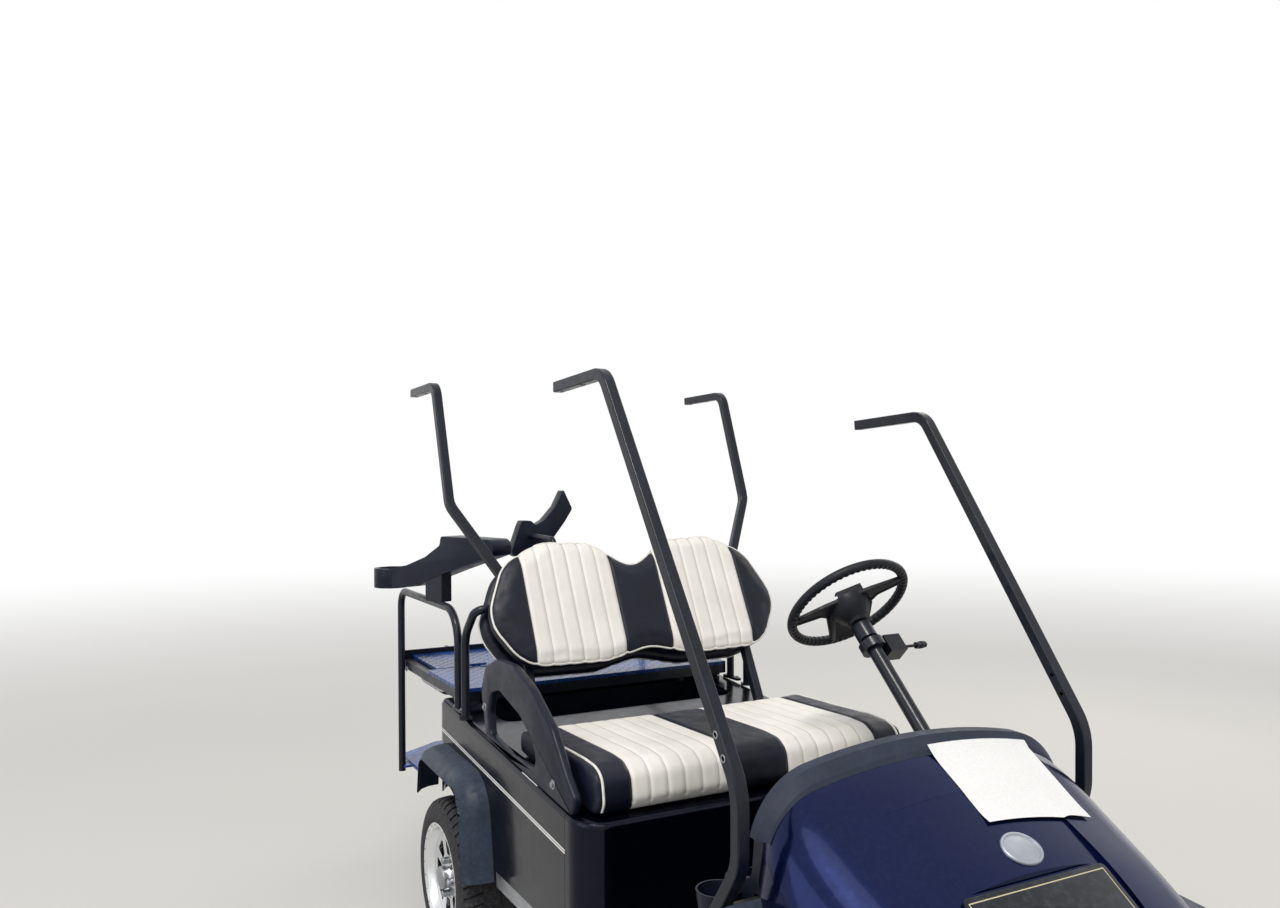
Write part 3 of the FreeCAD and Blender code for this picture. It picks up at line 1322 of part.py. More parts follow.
def wheel(name, x, y, sign):
    at = (x, y, size("tyre_radius"))
    half = size("tyre_width") / 2
    outer = size("tyre_radius")
    seat = size("rim_radius") - 10
    shoulder = size("tyre_shoulder")
    tyre_profile = [
        (-half + 16, seat), (half - 16, seat), (half - 2, seat + 22), (half, seat + 46),
        (half - 7, outer - shoulder), (half - 26, outer - 4), (half - 60, outer),
        (-half + 60, outer), (-half + 26, outer - 4), (-half + 7, outer - shoulder),
        (-half, seat + 46), (-half + 2, seat + 22)]
    turned_body(f"tyre_{name}", tyre_profile, at)
    lip = size("rim_radius")
    wall = size("rim_wall")
    face = half - size("rim_dish")
    disc = size("rim_disc")
    barrel = seat - size("seat_gap")
    boss = size("rim_boss_radius")
    bore = size("spindle_radius") + size("running_gap")
    rim_profile = [
        (-half + 9, lip), (-half + 3, lip), (-half + 3, lip - 6), (-half + 12, barrel - wall),
        (face - 22, barrel - wall), (face - 8, barrel - wall - 16), (face - disc, 60),
        (face - disc, boss), (face - 58, boss), (face - 58, bore), (face - 16, bore),
        (face - 16, 0), (face + 14, 0), (face + 14, 30), (face, 36), (face, 60),
        (face + 4, barrel - wall - 14), (half - 12, barrel - wall), (half - 3, lip - 6),
        (half - 3, lip), (half - 9, lip), (half - 15.3, barrel), (-half + 15.3, barrel)]
    turned_body(f"rim_{name}", rim_profile, at, mirror=sign < 0)


def wheels():
    for side, sign in SIDES:
        wheel(f"front_{side}", size("front_track") * (sign / 2), 0, sign)
        wheel(f"rear_{side}", size("rear_track") * (sign / 2), size("wheelbase"), sign)


frame()
floor()
rockers()
rear_body()
bag_well()
flares()
cowl()
brow()
dash()
bumper()
nameplate()
struts()
side_frames()
for side_name, side_sign in SIDES:
    knuckle(side_name, side_sign)
seats()
back_brackets()
hip_restraint()
deck_frame()
deck_panels()
foot_plate()
armrests()
steering()
pedals()
front_suspension()
tie_rod()
rear_axle()
battery()
wheels()

doc.recompute()
for item in doc.Objects:
    if "Invalid" in item.State or "Error" in item.State:
        raise RuntimeError(f"{item.Name} failed: {item.State}")
for item in PARTS:
    if item.Shape.isNull() or not item.Shape.isValid():
        raise RuntimeError(f"{item.Label} has no valid shape")

os.makedirs("parts", exist_ok=True)
for item in PARTS:
    item.Shape.exportStep(f"parts/{item.Label}.step")
print(len(PARTS), "parts")
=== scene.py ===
import math
from functools import partial

import bpy
from bpy.props import FloatProperty, FloatVectorProperty, IntProperty, PointerProperty
from mathutils import Matrix, Vector
from mathutils.bvhtree import BVHTree


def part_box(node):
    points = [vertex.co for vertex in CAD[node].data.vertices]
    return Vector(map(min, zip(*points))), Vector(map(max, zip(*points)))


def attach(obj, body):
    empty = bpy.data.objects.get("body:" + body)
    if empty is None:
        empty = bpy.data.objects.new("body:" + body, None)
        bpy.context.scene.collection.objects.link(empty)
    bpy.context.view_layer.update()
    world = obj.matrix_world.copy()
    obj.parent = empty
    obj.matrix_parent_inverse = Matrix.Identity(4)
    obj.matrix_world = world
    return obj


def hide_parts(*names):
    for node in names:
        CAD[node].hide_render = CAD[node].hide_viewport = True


bl_info = {
    "name": "Golf Cart Dressing",
    "version": (1, 0, 0),
    "blender": (4, 5, 0),
    "location": "View3D > Sidebar > Golf Cart",
    "description": "Upholstery, tyres, trim, finishes and studio for the golf cart frame",
    "category": "Object",
}

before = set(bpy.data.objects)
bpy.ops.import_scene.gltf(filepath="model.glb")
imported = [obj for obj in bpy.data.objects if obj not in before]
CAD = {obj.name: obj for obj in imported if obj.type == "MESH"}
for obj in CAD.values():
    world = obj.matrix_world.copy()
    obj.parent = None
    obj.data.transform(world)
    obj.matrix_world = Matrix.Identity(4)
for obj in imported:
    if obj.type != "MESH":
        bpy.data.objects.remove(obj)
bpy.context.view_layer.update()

WHEELS = ("front_passenger", "front_driver", "rear_passenger", "rear_driver")


# ---------------------------------------------------------------- colours and nodes

def length(name, default, about):
    """A length in metres for a property group."""
    return FloatProperty(name=name, default=default, unit="LENGTH", description=about)


def linear(code):
    """sRGB hex to a linear RGBA tuple."""
    channels = []
    for i in (1, 3, 5):
        value = int(code[i:i + 2], 16) / 255
        channels.append(value / 12.92 if value <= 0.04045 else ((value + 0.055) / 1.055) ** 2.4)
    return (*channels, 1.0)


def add_node(tree, kind, *values, out=0, **settings):
    """Add a node and give one of its outputs. The values go to its first inputs in order. A
    keyword is one of its settings, or else an input, by its name or as i and its place. A
    colour may be a hex code."""
    made = tree.nodes.new("ShaderNode" + kind)
    inputs = list(enumerate(values))
    for key, value in settings.items():
        if hasattr(made, key):
            setattr(made, key, value)
        else:
            place = int(key[1:]) if key[1:].isdigit() else key.replace("_", " ")
            inputs.append((place, value))
    for place, value in inputs:
        if isinstance(value, bpy.types.NodeSocket):
            tree.links.new(value, made.inputs[place])
        else:
            made.inputs[place].default_value = linear(value) if isinstance(value, str) else value
    return made.outputs[out] if made.outputs else None


# Settings of a Mix node that blends the colours i6 and i7, and the output that holds the result
RGBA = {"data_type": "RGBA", "out": 2}


def open_material(name):
    """An empty node material, the function that adds nodes to it, and the place in metres."""
    material = bpy.data.materials.new(name)
    material.use_nodes = True
    material.node_tree.nodes.clear()
    add = partial(add_node, material.node_tree)
    return material, add, add("TexCoord", out="Object")


def cloudiness(add, place, grain, detail=3.0, low=0.35, high=0.65):
    """Soft patches from 0 to 1; grain is the size of one patch in metres."""
    return add("MapRange", add("TexNoise", Vector=place, Scale=1 / grain, Detail=detail), low, high)


def shade(add, relief, **inputs):
    """The shader and the output; relief is rows of a height from 0 to 1 and its depth in metres."""
    bumps = {}
    for height, depth in relief:
        bumps["Normal"] = add("Bump", Height=height, Distance=depth, Strength=1.0, **bumps)
    shader = add("BsdfPrincipled", **bumps, **inputs)
    add("OutputMaterial", shader)
    return shader


# ---------------------------------------------------------------- finishes

# Plain finishes: colour, second colour, dust colour, roughness low and high, metallic, IOR,
# clear coat, grain size in mm, grain depth in mm, share of dust
FINISHES = {
    # Metallic base coat under lacquer: deep, with long soft reflections and faint orange peel
    "navy_lacquered_paint": ("#071540", "#081744", "#4b5570", 0.16, 0.22, 0.75, 1.5, 0.2, 6.0,
                             0.008, 0.04),
    # The same paint on the seat pod and rear body, painted darker, almost black, as painted shade
    "navy_paint_with_painted_shade": ("#050a1c", "#060c20", "#4c4a4c", 0.14, 0.22, 0.75, 1.5, 0.2,
                                 6.0, 0.008, 0.06),
    # Moulded ABS with a fine pebble grain, bleached a little by the sun
    "charcoal_pebbled_abs": ("#2b3140", "#323849", "#5d6068", 0.50, 0.62, 0.0, 1.46, 0.0, 1.6,
                             0.05, 0.10),
    # Smooth moulded skin of the armrests and the hip restraint: navy black with a soft shine
    "navy_black_moulding": ("#0e1422", "#131a2a", "#474b54", 0.30, 0.42, 0.0, 1.48, 0.0, 1.2,
                            0.02, 0.08),
    # Powder coat on steel tube: satin with a faint peel
    "blue_black_powder_coat": ("#0d121c", "#121926", "#4a4d53", 0.28, 0.40, 0.0, 1.5, 0.15, 2.2,
                               0.02, 0.08),
    # Chassis paint under road dust
    "dusty_chassis_enamel": ("#16181b", "#1f2124", "#6f675c", 0.50, 0.72, 0.0, 1.5, 0.0, 3.0,
                             0.05, 0.42),
    # Moulded polypropylene flares: satin slate, lightly scuffed
    "slate_polypropylene": ("#27303f", "#303a4b", "#6b6e74", 0.38, 0.52, 0.0, 1.49, 0.0, 2.0,
                            0.03, 0.16),
    # Rolled and brushed aluminium strip; its grain is drawn as even noise
    "brushed_aluminium": ("#a9adb3", "#bcc0c5", "#77746e", 0.28, 0.42, 1.0, 1.5, 0.0, 1.2, 0.02,
                          0.12),
    # Ribbed rubber mat
    "rubber_floor_mat": ("#17181a", "#1e1f21", "#6d665b", 0.62, 0.80, 0.0, 1.52, 0.0, 1.5, 0.06,
                         0.34),
    # Soft polyurethane skin of the steering wheel, polished by hands
    "moulded_polyurethane": ("#14161c", "#1c1f27", "#4a4b4f", 0.40, 0.58, 0.0, 1.5, 0.0, 1.0,
                             0.04, 0.06),
    # Battery cases and caps
    "battery_polypropylene": ("#2a2118", "#352a1f", "#6d6355", 0.45, 0.62, 0.0, 1.49, 0.0, 2.0,
                              0.03, 0.30),
    # Cast and polished wheel metal: bright
    "polished_cast_aluminium": ("#d9dbdf", "#e9eaec", "#8d8a85", 0.10, 0.24, 1.0, 1.5, 0.0, 1.2,
                                0.01, 0.05),
    # Zinc plated bolts
    "zinc_plate": ("#8f9296", "#a7a9ac", "#6d675c", 0.30, 0.50, 1.0, 1.5, 0.0, 0.8, 0.02, 0.20),
    # Die-cast badge metal
    "die_cast_pewter": ("#a4a9b4", "#b4b9c3", "#565b64", 0.34, 0.50, 0.7, 1.5, 0.0, 0.9, 0.04,
                        0.10),
}

# Which finish each material slot of the record takes
SLOT_FINISH = {
    "frame_steel": "dusty_chassis_enamel",
    "floor_mat": "rubber_floor_mat",
    "bright_strip": "brushed_aluminium",
    "blue_body": "navy_lacquered_paint",
    "dark_trim": "charcoal_pebbled_abs",
    "flare_plastic": "slate_polypropylene",
    "strut_paint": "blue_black_powder_coat",
    "wheel_grip": "moulded_polyurethane",
    "battery_case": "battery_polypropylene",
    "wheel_metal": "polished_cast_aluminium",
}

# Solids whose finish differs from the rest of their slot
NODE_FINISH = {
    # The seat pod and rear body take the darker copy of the navy paint: painted shade
    "seat_pod_front": "navy_paint_with_painted_shade",
    "rear_body": "navy_paint_with_painted_shade",
    "bag_well": "navy_black_moulding",
    "rear_armrests": "navy_black_moulding",
    "hip_restraint": "navy_black_moulding",
    "dash_panel": "navy_black_moulding",
}


def plain_finish(name):
    """A material from one row of the table of finishes."""
    if name in bpy.data.materials:
        return bpy.data.materials[name]
    base, second, dust, smooth, rough, metallic, ior, coat, grain, depth, dusty = FINISHES[name]
    material, add, place = open_material(name)
    colour = add("Mix", cloudiness(add, place, 0.09), i6=base, i7=second, **RGBA)
    # Dust lies on what faces up, thin and broken
    up = add("SeparateXYZ", add("NewGeometry", out="Normal"), out=2)
    dusted = add("Math", add("MapRange", up, -0.4, 0.9, 0.35, 1.0),
                 cloudiness(add, place, 0.012, 6.0, 0.42, 0.70), operation="MULTIPLY")
    dusted = add("Math", dusted, dusty, operation="MULTIPLY", use_clamp=True)
    wear = add("MapRange", cloudiness(add, place, 0.03, 4.0), 0.0, 1.0, smooth, rough)
    grit = add("TexNoise", Vector=place, Scale=1000 / grain, Detail=2.0)
    shade(add, [(grit, depth / 1000)],
          Base_Color=add("Mix", dusted, i6=colour, i7=dust, **RGBA),
          Roughness=add("Math", wear, add("Math", dusted, 0.5, operation="MULTIPLY"),
                        operation="ADD", use_clamp=True),
          Metallic=metallic, IOR=ior, Coat_Weight=coat, Coat_Roughness=0.06,
          Specular_IOR_Level=0.5 if metallic == 1.0 else 0.22)
    return material


def finish_of(node, slot):
    """The finish of a solid: its own, or else its slot's."""
    return plain_finish(NODE_FINISH.get(node, SLOT_FINISH[slot]))


def checker_gel_coat(name, pitch):
    """Blue gel coat with raised diamond grips, as on the deck and the foot plate."""
    material, add, place = open_material(name)
    colour = add("Mix", cloudiness(add, place, 0.12), i6="#143777", i7="#1c478f", **RGBA)
    scuffs = cloudiness(add, place, 0.02, 8.0, 0.56, 0.72)
    colour = add("Mix", add("Math", scuffs, 0.25, operation="MULTIPLY"), i6=colour, i7="#7f8ea4",
                 **RGBA)
    # Two crossed sets of short bars, the classic tread plate, pitch in metres
    sets = []
    for turn, shift in ((math.pi / 4, 0.0), (-math.pi / 4, pitch / 2)):
        mapped = add("Mapping", place, Location=(shift, 0, 0), Rotation=(0, 0, turn))
        near = []
        for axis, reach in ((0, 0.40), (1, 0.13)):
            wrapped = add("Math", add("SeparateXYZ", mapped, out=axis), pitch / 2,
                          operation="PINGPONG")
            share = add("Math", wrapped, pitch * reach, operation="DIVIDE")
            near.append(add("Math", share, 2.0, operation="POWER"))
        oval = add("Math", 1.0, add("Math", *near, operation="ADD"), operation="SUBTRACT",
                   use_clamp=True)
        sets.append(add("Math", oval, 0.5, operation="POWER"))
    bars = add("Math", *sets, operation="MAXIMUM")
    shade(add, [(cloudiness(add, place, 0.05, 2.0), 0.0006), (bars, 0.0012)], Base_Color=colour,
          Roughness=add("MapRange", scuffs, 0.0, 1.0, 0.22, 0.46), Coat_Weight=0.10,
          Coat_Roughness=0.05, Specular_IOR_Level=0.25)
    return material


def tyre_rubber():
    """Carbon black rubber: dark grey, dull, with broken dust."""
    material, add, place = open_material("tyre_rubber")
    patches = cloudiness(add, place, 0.05, 6.0)
    colour = add("Mix", patches, i6="#26272a", i7="#34353a", **RGBA)
    dust = add("Math", cloudiness(add, place, 0.008, 8.0, 0.5, 0.72), 0.35, operation="MULTIPLY")
    grit = add("TexNoise", Vector=place, Scale=1400.0, Detail=2.0)
    shade(add, [(grit, 0.00008)],
          Base_Color=add("Mix", dust, i6=colour, i7="#6f6a62", **RGBA),
          Roughness=add("MapRange", patches, 0.0, 1.0, 0.62, 0.82), IOR=1.52,
          Specular_IOR_Level=0.20)
    return material


def marine_vinyl(name, band, own, skin, pleat):
    """PVC coated fabric: navy, with ivory panels between |X| band[0] and band[1]. own takes
    object space to the pad's own frame, skin is the depth range that the ivory covers."""
    material, add, place = open_material(name)
    mapped = add("Mapping", place, Location=tuple(own.translation), Rotation=tuple(own.to_euler()))
    across = add("Math", add("SeparateXYZ", mapped), operation="ABSOLUTE")
    depth = add("SeparateXYZ", mapped, out=1)
    ivory_share = 1.0
    for measure, limit, side in ((across, band[0], "GREATER_THAN"), (across, band[1], "LESS_THAN"),
                                 (depth, skin[0], "GREATER_THAN"), (depth, skin[1], "LESS_THAN")):
        ivory_share = add("Math", add("Math", measure, limit, operation=side), ivory_share,
                          operation="MULTIPLY")
    haze = cloudiness(add, place, 0.11, 4.0)
    navy = add("Mix", haze, i6="#090d19", i7="#0f1526", **RGBA)
    ivory = add("Mix", haze, i6="#e9e7e1", i7="#f2f0ec", **RGBA)
    # A grey line of painted shade sits along each sewn channel
    from_edge = add("Math", across, band[0], operation="SUBTRACT")
    to_line = add("Math", from_edge, pleat / 2, operation="PINGPONG")
    ivory = add("Mix", add("MapRange", to_line, 0.0, 0.0028, 0.55, 0.0), i6=ivory,
                i7="#8f8b80", **RGBA)
    # Leather-like emboss, cells of about 1.4 mm, drawn twice as coarse so that it shows
    cells = add("TexVoronoi", feature="DISTANCE_TO_EDGE", Vector=place, Scale=360.0)
    creases = add("TexNoise", Vector=place, Scale=26.0, Detail=3.0)
    shade(add, [(add("MapRange", cells, 0.0, 0.25), 0.00007), (creases, 0.0012)],
          Base_Color=add("Mix", ivory_share, i6=navy, i7=ivory, **RGBA),
          Roughness=add("MapRange", cloudiness(add, place, 0.04, 5.0), 0.0, 1.0, 0.36, 0.50),
          IOR=1.53, Specular_IOR_Level=0.25)
    return material


def piping_vinyl():
    """White extruded piping, a little grey where it is handled."""
    material, add, place = open_material("white_piping_vinyl")
    worn = cloudiness(add, place, 0.02, 5.0)
    grit = add("TexNoise", Vector=place, Scale=700.0, Detail=1.0)
    shade(add, [(grit, 0.00006)],
          Base_Color=add("Mix", worn, i6="#dcdad4", i7="#efeeea", **RGBA),
          Roughness=add("MapRange", worn, 0.0, 1.0, 0.38, 0.52))
    return material


def office_paper():
    """Plain copy paper behind tape: matt, faintly fibrous."""
    material, add, place = open_material("office_paper")
    fibre = cloudiness(add, place, 0.004, 6.0)
    shade(add, [(fibre, 0.00008)],
          Base_Color=add("Mix", fibre, i6="#eceef0", i7="#f6f7f8", **RGBA),
          Roughness=add("MapRange", fibre, 0.0, 1.0, 0.60, 0.75), Subsurface_Weight=0.05)
    return material


def printed_plate(centre, turn, half_width, half_length, line_in, line_wide):
    """Black anodised plate with one thin cream line inside its edge, under a film of dust."""
    material, add, place = open_material("black_anodised_plate")
    mapped = add("Mapping", place, vector_type="TEXTURE", Location=tuple(centre),
                 Rotation=(turn, 0, 0))
    inside = []
    for axis, half in ((0, half_width), (1, half_length)):
        off = add("Math", add("SeparateXYZ", mapped, out=axis), operation="ABSOLUTE")
        inside.append(add("Math", half - line_in, off, operation="SUBTRACT"))
    depth = add("Math", *inside, operation="MINIMUM")
    line = add("Math", add("Math", depth, 0.0, operation="GREATER_THAN"),
               add("Math", depth, line_wide, operation="LESS_THAN"), operation="MULTIPLY")
    dust = cloudiness(add, place, 0.015, 6.0, 0.45, 0.75)
    base = add("Mix", add("Math", dust, 0.3, operation="MULTIPLY"), i6="#141920",
               i7="#4c525c", **RGBA)
    shade(add, [(line, 0.0002), (dust, 0.00003)],
          Base_Color=add("Mix", line, i6=base, i7="#cfc6a4", **RGBA),
          Roughness=add("MapRange", dust, 0.0, 1.0, 0.18, 0.36), Coat_Weight=0.1,
          Specular_IOR_Level=0.25)
    return material


def stripe_vinyl(slope, rise):
    """Cut vinyl tape: two white lines with a thin dark one between, along z = rise + slope y."""
    material, add, place = open_material("pinstripe_tape")
    line = add("Math", add("SeparateXYZ", place, out=1), slope, rise, operation="MULTIPLY_ADD")
    away = add("Math", add("Math", add("SeparateXYZ", place, out=2), line, operation="SUBTRACT"),
               operation="ABSOLUTE")
    scuff = cloudiness(add, place, 0.02, 6.0)
    pale = add("Mix", scuff, i6="#dededc", i7="#f0f0ee", **RGBA)
    shade(add, [(scuff, 0.00004)],
          Base_Color=add("Mix", add("Math", away, 0.0012, operation="GREATER_THAN"),
                         i6="#1b2233", i7=pale, **RGBA),
          Roughness=add("MapRange", scuff, 0.0, 1.0, 0.30, 0.48))
    return material


# ---------------------------------------------------------------- working with pieces

# Points nearer to each other than this are merged
MERGE = 0.00002


def take_up(piece):
    """Make the piece the only selected and active object."""
    bpy.ops.object.select_all(action="DESELECT")
    piece.select_set(True)
    bpy.context.view_layer.objects.active = piece


def open_piece(piece, mode="FACE"):
    take_up(piece)
    bpy.ops.object.mode_set(mode="EDIT")
    bpy.ops.mesh.select_mode(type=mode)
    bpy.ops.mesh.select_all(action="SELECT")


def close_piece():
    bpy.ops.object.mode_set(mode="OBJECT")


def pick_faces(piece, test):
    """In edit mode, select the faces whose centre and normal pass the test."""
    close_piece()
    mesh = piece.data
    for item in (*mesh.vertices, *mesh.edges, *mesh.polygons):
        item.select = False
    for face in mesh.polygons:
        face.select = test(face.center, face.normal)
    bpy.ops.object.mode_set(mode="EDIT")
    bpy.ops.mesh.select_mode(type="FACE")


def settle(piece):
    """Put the place, turn and scale of an object into its mesh."""
    take_up(piece)
    bpy.ops.object.transform_apply(location=True, rotation=True, scale=True)
    return piece


def modify(piece, kind, **settings):
    """Add a modifier with its settings and apply it."""
    take_up(piece)
    bpy.ops.object.modifier_add(type=kind)
    modifier = piece.modifiers[-1]
    for key, value in settings.items():
        setattr(modifier, key, value)
    bpy.ops.object.modifier_apply(modifier=modifier.name)


def soften(piece, degrees):
    take_up(piece)
    bpy.ops.object.shade_smooth_by_angle(angle=math.radians(degrees))


def named(name):
    piece = bpy.context.active_object
    piece.name = name
    piece.data.name = name
    return piece


def join(pieces, name):
    take_up(pieces[0])
    for piece in pieces:
        piece.select_set(True)
    if len(pieces) > 1:
        bpy.ops.object.join()
    return named(name)


def copy_of(piece, name):
    other = piece.copy()
    other.data = piece.data.copy()
    other.name = name
    other.data.name = name
    bpy.context.collection.objects.link(other)
    return other


def copy_of_node(node, name):
    """The CAD solid's mesh as a new, merged object."""
    mesh = CAD[node].data.copy()
    piece = bpy.data.objects.new(name, mesh)
    mesh.name = name
    mesh.materials.clear()
    bpy.context.collection.objects.link(piece)
    open_piece(piece, "VERT")
    bpy.ops.mesh.remove_doubles(threshold=MERGE)
    close_piece()
    return piece


def paint(piece, material):
    piece.data.materials.clear()
    piece.data.materials.append(material)


def hand_over(piece, body, material, nodes=()):
    """Give the finished piece its material and its body, and hide what it replaces."""
    paint(piece, material)
    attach(piece, body)
    if nodes:
        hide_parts(*nodes)


def surface_of(piece):
    mesh = piece.data
    return BVHTree.FromPolygons([v.co for v in mesh.vertices],
                                [tuple(p.vertices) for p in mesh.polygons])


def line_mesh(points, name, closed):
    """Points joined by edges, as a new object in edit mode with all of it selected."""
    mesh = bpy.data.meshes.new(name)
    edges = [(i, i + 1) for i in range(len(points) - 1)]
    if closed:
        edges.append((len(points) - 1, 0))
    mesh.from_pydata(points, edges, [])
    piece = bpy.data.objects.new(name, mesh)
    bpy.context.collection.objects.link(piece)
    open_piece(piece, "VERT")
    return piece


def turned(section, steps, name, closed=False, axis=(0, 0, 1), merge=MERGE):
    """A section of (radius, height) spun about the Z axis, or of (radius, place) about X."""
    points = [(r, 0, h) if axis[2] else (h, 0, r) for r, h in section]
    piece = line_mesh(points, name, closed)
    bpy.ops.mesh.spin(steps=steps, angle=2 * math.pi, center=(0, 0, 0), axis=axis)
    bpy.ops.mesh.select_all(action="SELECT")
    bpy.ops.mesh.remove_doubles(threshold=merge)
    bpy.ops.mesh.normals_make_consistent(inside=False)
    close_piece()
    return piece


def plate(outline, low, high, name, bevel=0.0, segments=2):
    """A flat outline in plan, filled, extruded from low to high and bevelled."""
    piece = line_mesh([(x, y, low) for x, y in outline], name, True)
    bpy.ops.mesh.edge_face_add()
    bpy.ops.mesh.extrude_region_move(TRANSFORM_OT_translate={"value": (0, 0, high - low)})
    bpy.ops.mesh.select_all(action="SELECT")
    bpy.ops.mesh.normals_make_consistent(inside=False)
    close_piece()
    if bevel:
        modify(piece, "BEVEL", width=bevel, segments=segments, limit_method="ANGLE")
    return piece


def moved(piece, matrix):
    piece.matrix_world = matrix
    return settle(piece)


# ---------------------------------------------------------------- upholstery

def lean_frame(behind):
    """Pad frame of a seat back: X across, Y through its thickness, Z up along its lean."""
    lean = math.radians(26.6)
    foot = Vector((0, 1.3652, 0.9164))
    foot += Vector((0, math.cos(lean), -math.sin(lean))) * behind
    return Matrix.Translation(foot) @ Matrix.Rotation(-lean, 4, "X")


# Frames that the cushions' cloth takes to swell
SWELL_FRAMES = 20


def stuff(pad, own, voxel, shrink, pressure, cap, held):
    """Swell a pad like stuffed vinyl: remesh, blow up with cloth, cap how far it swells."""
    open_piece(pad, "VERT")
    bpy.ops.transform.shrink_fatten(value=-shrink)
    close_piece()
    modify(pad, "REMESH", mode="VOXEL", voxel_size=voxel)
    before = [(v.co.copy(), v.normal.copy()) for v in pad.data.vertices]
    group = pad.vertex_groups.new(name="resting")
    group.add([v.index for v in pad.data.vertices if held(own @ v.co)], 1.0, "REPLACE")
    take_up(pad)
    bpy.ops.object.modifier_add(type="CLOTH")
    cloth = pad.modifiers[-1]
    cloth.settings.quality = 3
    cloth.settings.use_pressure = True
    cloth.settings.uniform_pressure_force = pressure
    cloth.settings.effector_weights.gravity = 0.0
    cloth.settings.vertex_group_mass = "resting"
    cloth.settings.tension_stiffness = 12
    cloth.settings.compression_stiffness = 12
    cloth.point_cache.frame_start = 1
    cloth.point_cache.frame_end = SWELL_FRAMES
    for step in range(1, SWELL_FRAMES + 1):
        bpy.context.scene.frame_set(step)
    bpy.ops.object.modifier_apply(modifier=cloth.name)
    bpy.context.scene.frame_set(1)
    for vertex, (start, normal) in zip(pad.data.vertices, before):
        swell = (vertex.co - start).dot(normal)
        vertex.co = start + normal * max(0.0, min(cap, swell))
    pad.vertex_groups.clear()
    open_piece(pad, "VERT")
    bpy.ops.mesh.vertices_smooth(factor=0.5, repeat=6)
    close_piece()
    modify(pad, "SUBSURF", levels=1, render_levels=1)


def sew(pad, own, sizes, depth, covers):
    """Press the sewn channels and the panel seams into the pad along its normals."""
    # Half widths of the dip of a channel and of a panel's seam
    dip, seam_dip = 0.013, 0.010
    edges = (sizes.panel_inner, sizes.panel_outer)
    back = own.inverted()
    normals = [v.normal.copy() for v in pad.data.vertices]
    for vertex, normal in zip(pad.data.vertices, normals):
        spot = own @ vertex.co
        side = own.to_3x3() @ normal
        share = covers(spot, side)
        if share <= 0:
            continue
        across = abs(spot.x)
        press = 0.0
        if edges[0] - 0.001 < across < edges[1] + 0.001:
            step = (across - edges[0]) / sizes.pleat
            off = abs(step - round(step)) * sizes.pleat
            press = depth * max(0.0, 1 - off / dip) ** 2
        for edge in edges:
            press = max(press, depth * 1.5 * max(0.0, 1 - abs(across - edge) / seam_dip) ** 2)
        vertex.co = back @ (spot - side * press * share)


def piping(pad, plane_point, plane_way, name, radius, keep=None):
    """White piping where a plane meets the pad's skin."""
    cord = copy_of(pad, name)
    open_piece(cord, "VERT")
    bpy.ops.mesh.bisect(plane_co=plane_point, plane_no=plane_way, clear_inner=True,
                        clear_outer=True)
    if keep:
        close_piece()
        for item in (*cord.data.edges, *cord.data.polygons):
            item.select = False
        for vertex in cord.data.vertices:
            vertex.select = not keep(vertex.co)
        bpy.ops.object.mode_set(mode="EDIT")
        bpy.ops.mesh.delete(type="VERT")
    bpy.ops.mesh.select_all(action="SELECT")
    bpy.ops.mesh.remove_doubles(threshold=0.0015)
    bpy.ops.mesh.vertices_smooth(factor=0.5, repeat=6)
    close_piece()
    take_up(cord)
    bpy.ops.object.convert(target="CURVE")
    cord.data.bevel_depth = radius
    cord.data.bevel_resolution = 2
    cord.data.use_fill_caps = True
    bpy.ops.object.convert(target="MESH")
    soften(cord, 60)
    return cord


class SeatSizes(bpy.types.PropertyGroup):
    panel_inner: length("Ivory panel, inner edge", 0.083,
                        "Where each ivory panel starts, from the middle")
    panel_outer: length("Ivory panel, outer edge", 0.382,
                        "Where each ivory panel ends, from the middle")
    pleat: length("Channel pitch", 0.0498, "From one sewn channel to the next")
    channel_depth: length("Channel depth", 0.0042, "How deep the sewn channels are")
    voxel: length("Remesh size", 0.0075, "Size of the faces that the stuffing works on")
    piping_radius: length("Piping radius", 0.0036, "Radius of the white piping")


def upholster(sizes, node, name, own, swell, held, covers, coarser=0.0, shallower=1.0):
    """The stuffed and sewn pad of a solid; swell is how far it is shrunk first, the pressure
    and the cap."""
    pad = copy_of_node(node, name)
    stuff(pad, own, sizes.voxel + coarser, *swell, held)
    sew(pad, own, sizes, sizes.channel_depth * shallower, covers)
    soften(pad, 180)
    return pad


def cover(sizes, pad, pipes, body, node, vinyl, own, skin):
    """Vinyl and body of a pad, and its piping; the solid it replaces is hidden."""
    band = (sizes.panel_inner, sizes.panel_outer)
    material = marine_vinyl(vinyl, band, own, skin, sizes.pleat)
    hand_over(pad, body, material, (node,))
    hand_over(pipes, body, piping_vinyl())


class CART_OT_seat_cushion(bpy.types.Operator):
    """Front bench: pleated ivory panels over the front edge, piped ends"""
    bl_idname = "cart.seat_cushion"
    bl_label = "Seat cushion"

    def execute(self, context):
        sizes = context.scene.cart_seats
        low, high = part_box("seat_cushion")
        own = Matrix.Identity(4)
        # Rise of the cushion's underside for each metre rearward
        slope = 0.0853

        def resting(spot):
            return spot.z < low[2] + 0.010 + slope * (spot.y - low[1])

        pad = upholster(sizes, "seat_cushion", "bench_cushion", own, (0.005, 4.0, 0.009), resting,
                        lambda spot, side: 0.0 if side.z < -0.5 or side.y > 0.7 else 1.0,
                        coarser=0.0006)
        pipes = [piping(pad, (end, 0, 0), (1, 0, 0), f"bench_piping_{end}", sizes.piping_radius,
                        lambda co: not resting(co)) for end in (-0.461, 0.461)]
        cover(sizes, pad, join(pipes, "bench_cushion_piping"), "seat_cushion", "seat_cushion",
              "two_tone_bench_vinyl", own, (0.5, high[1] - 0.02))
        return {"FINISHED"}


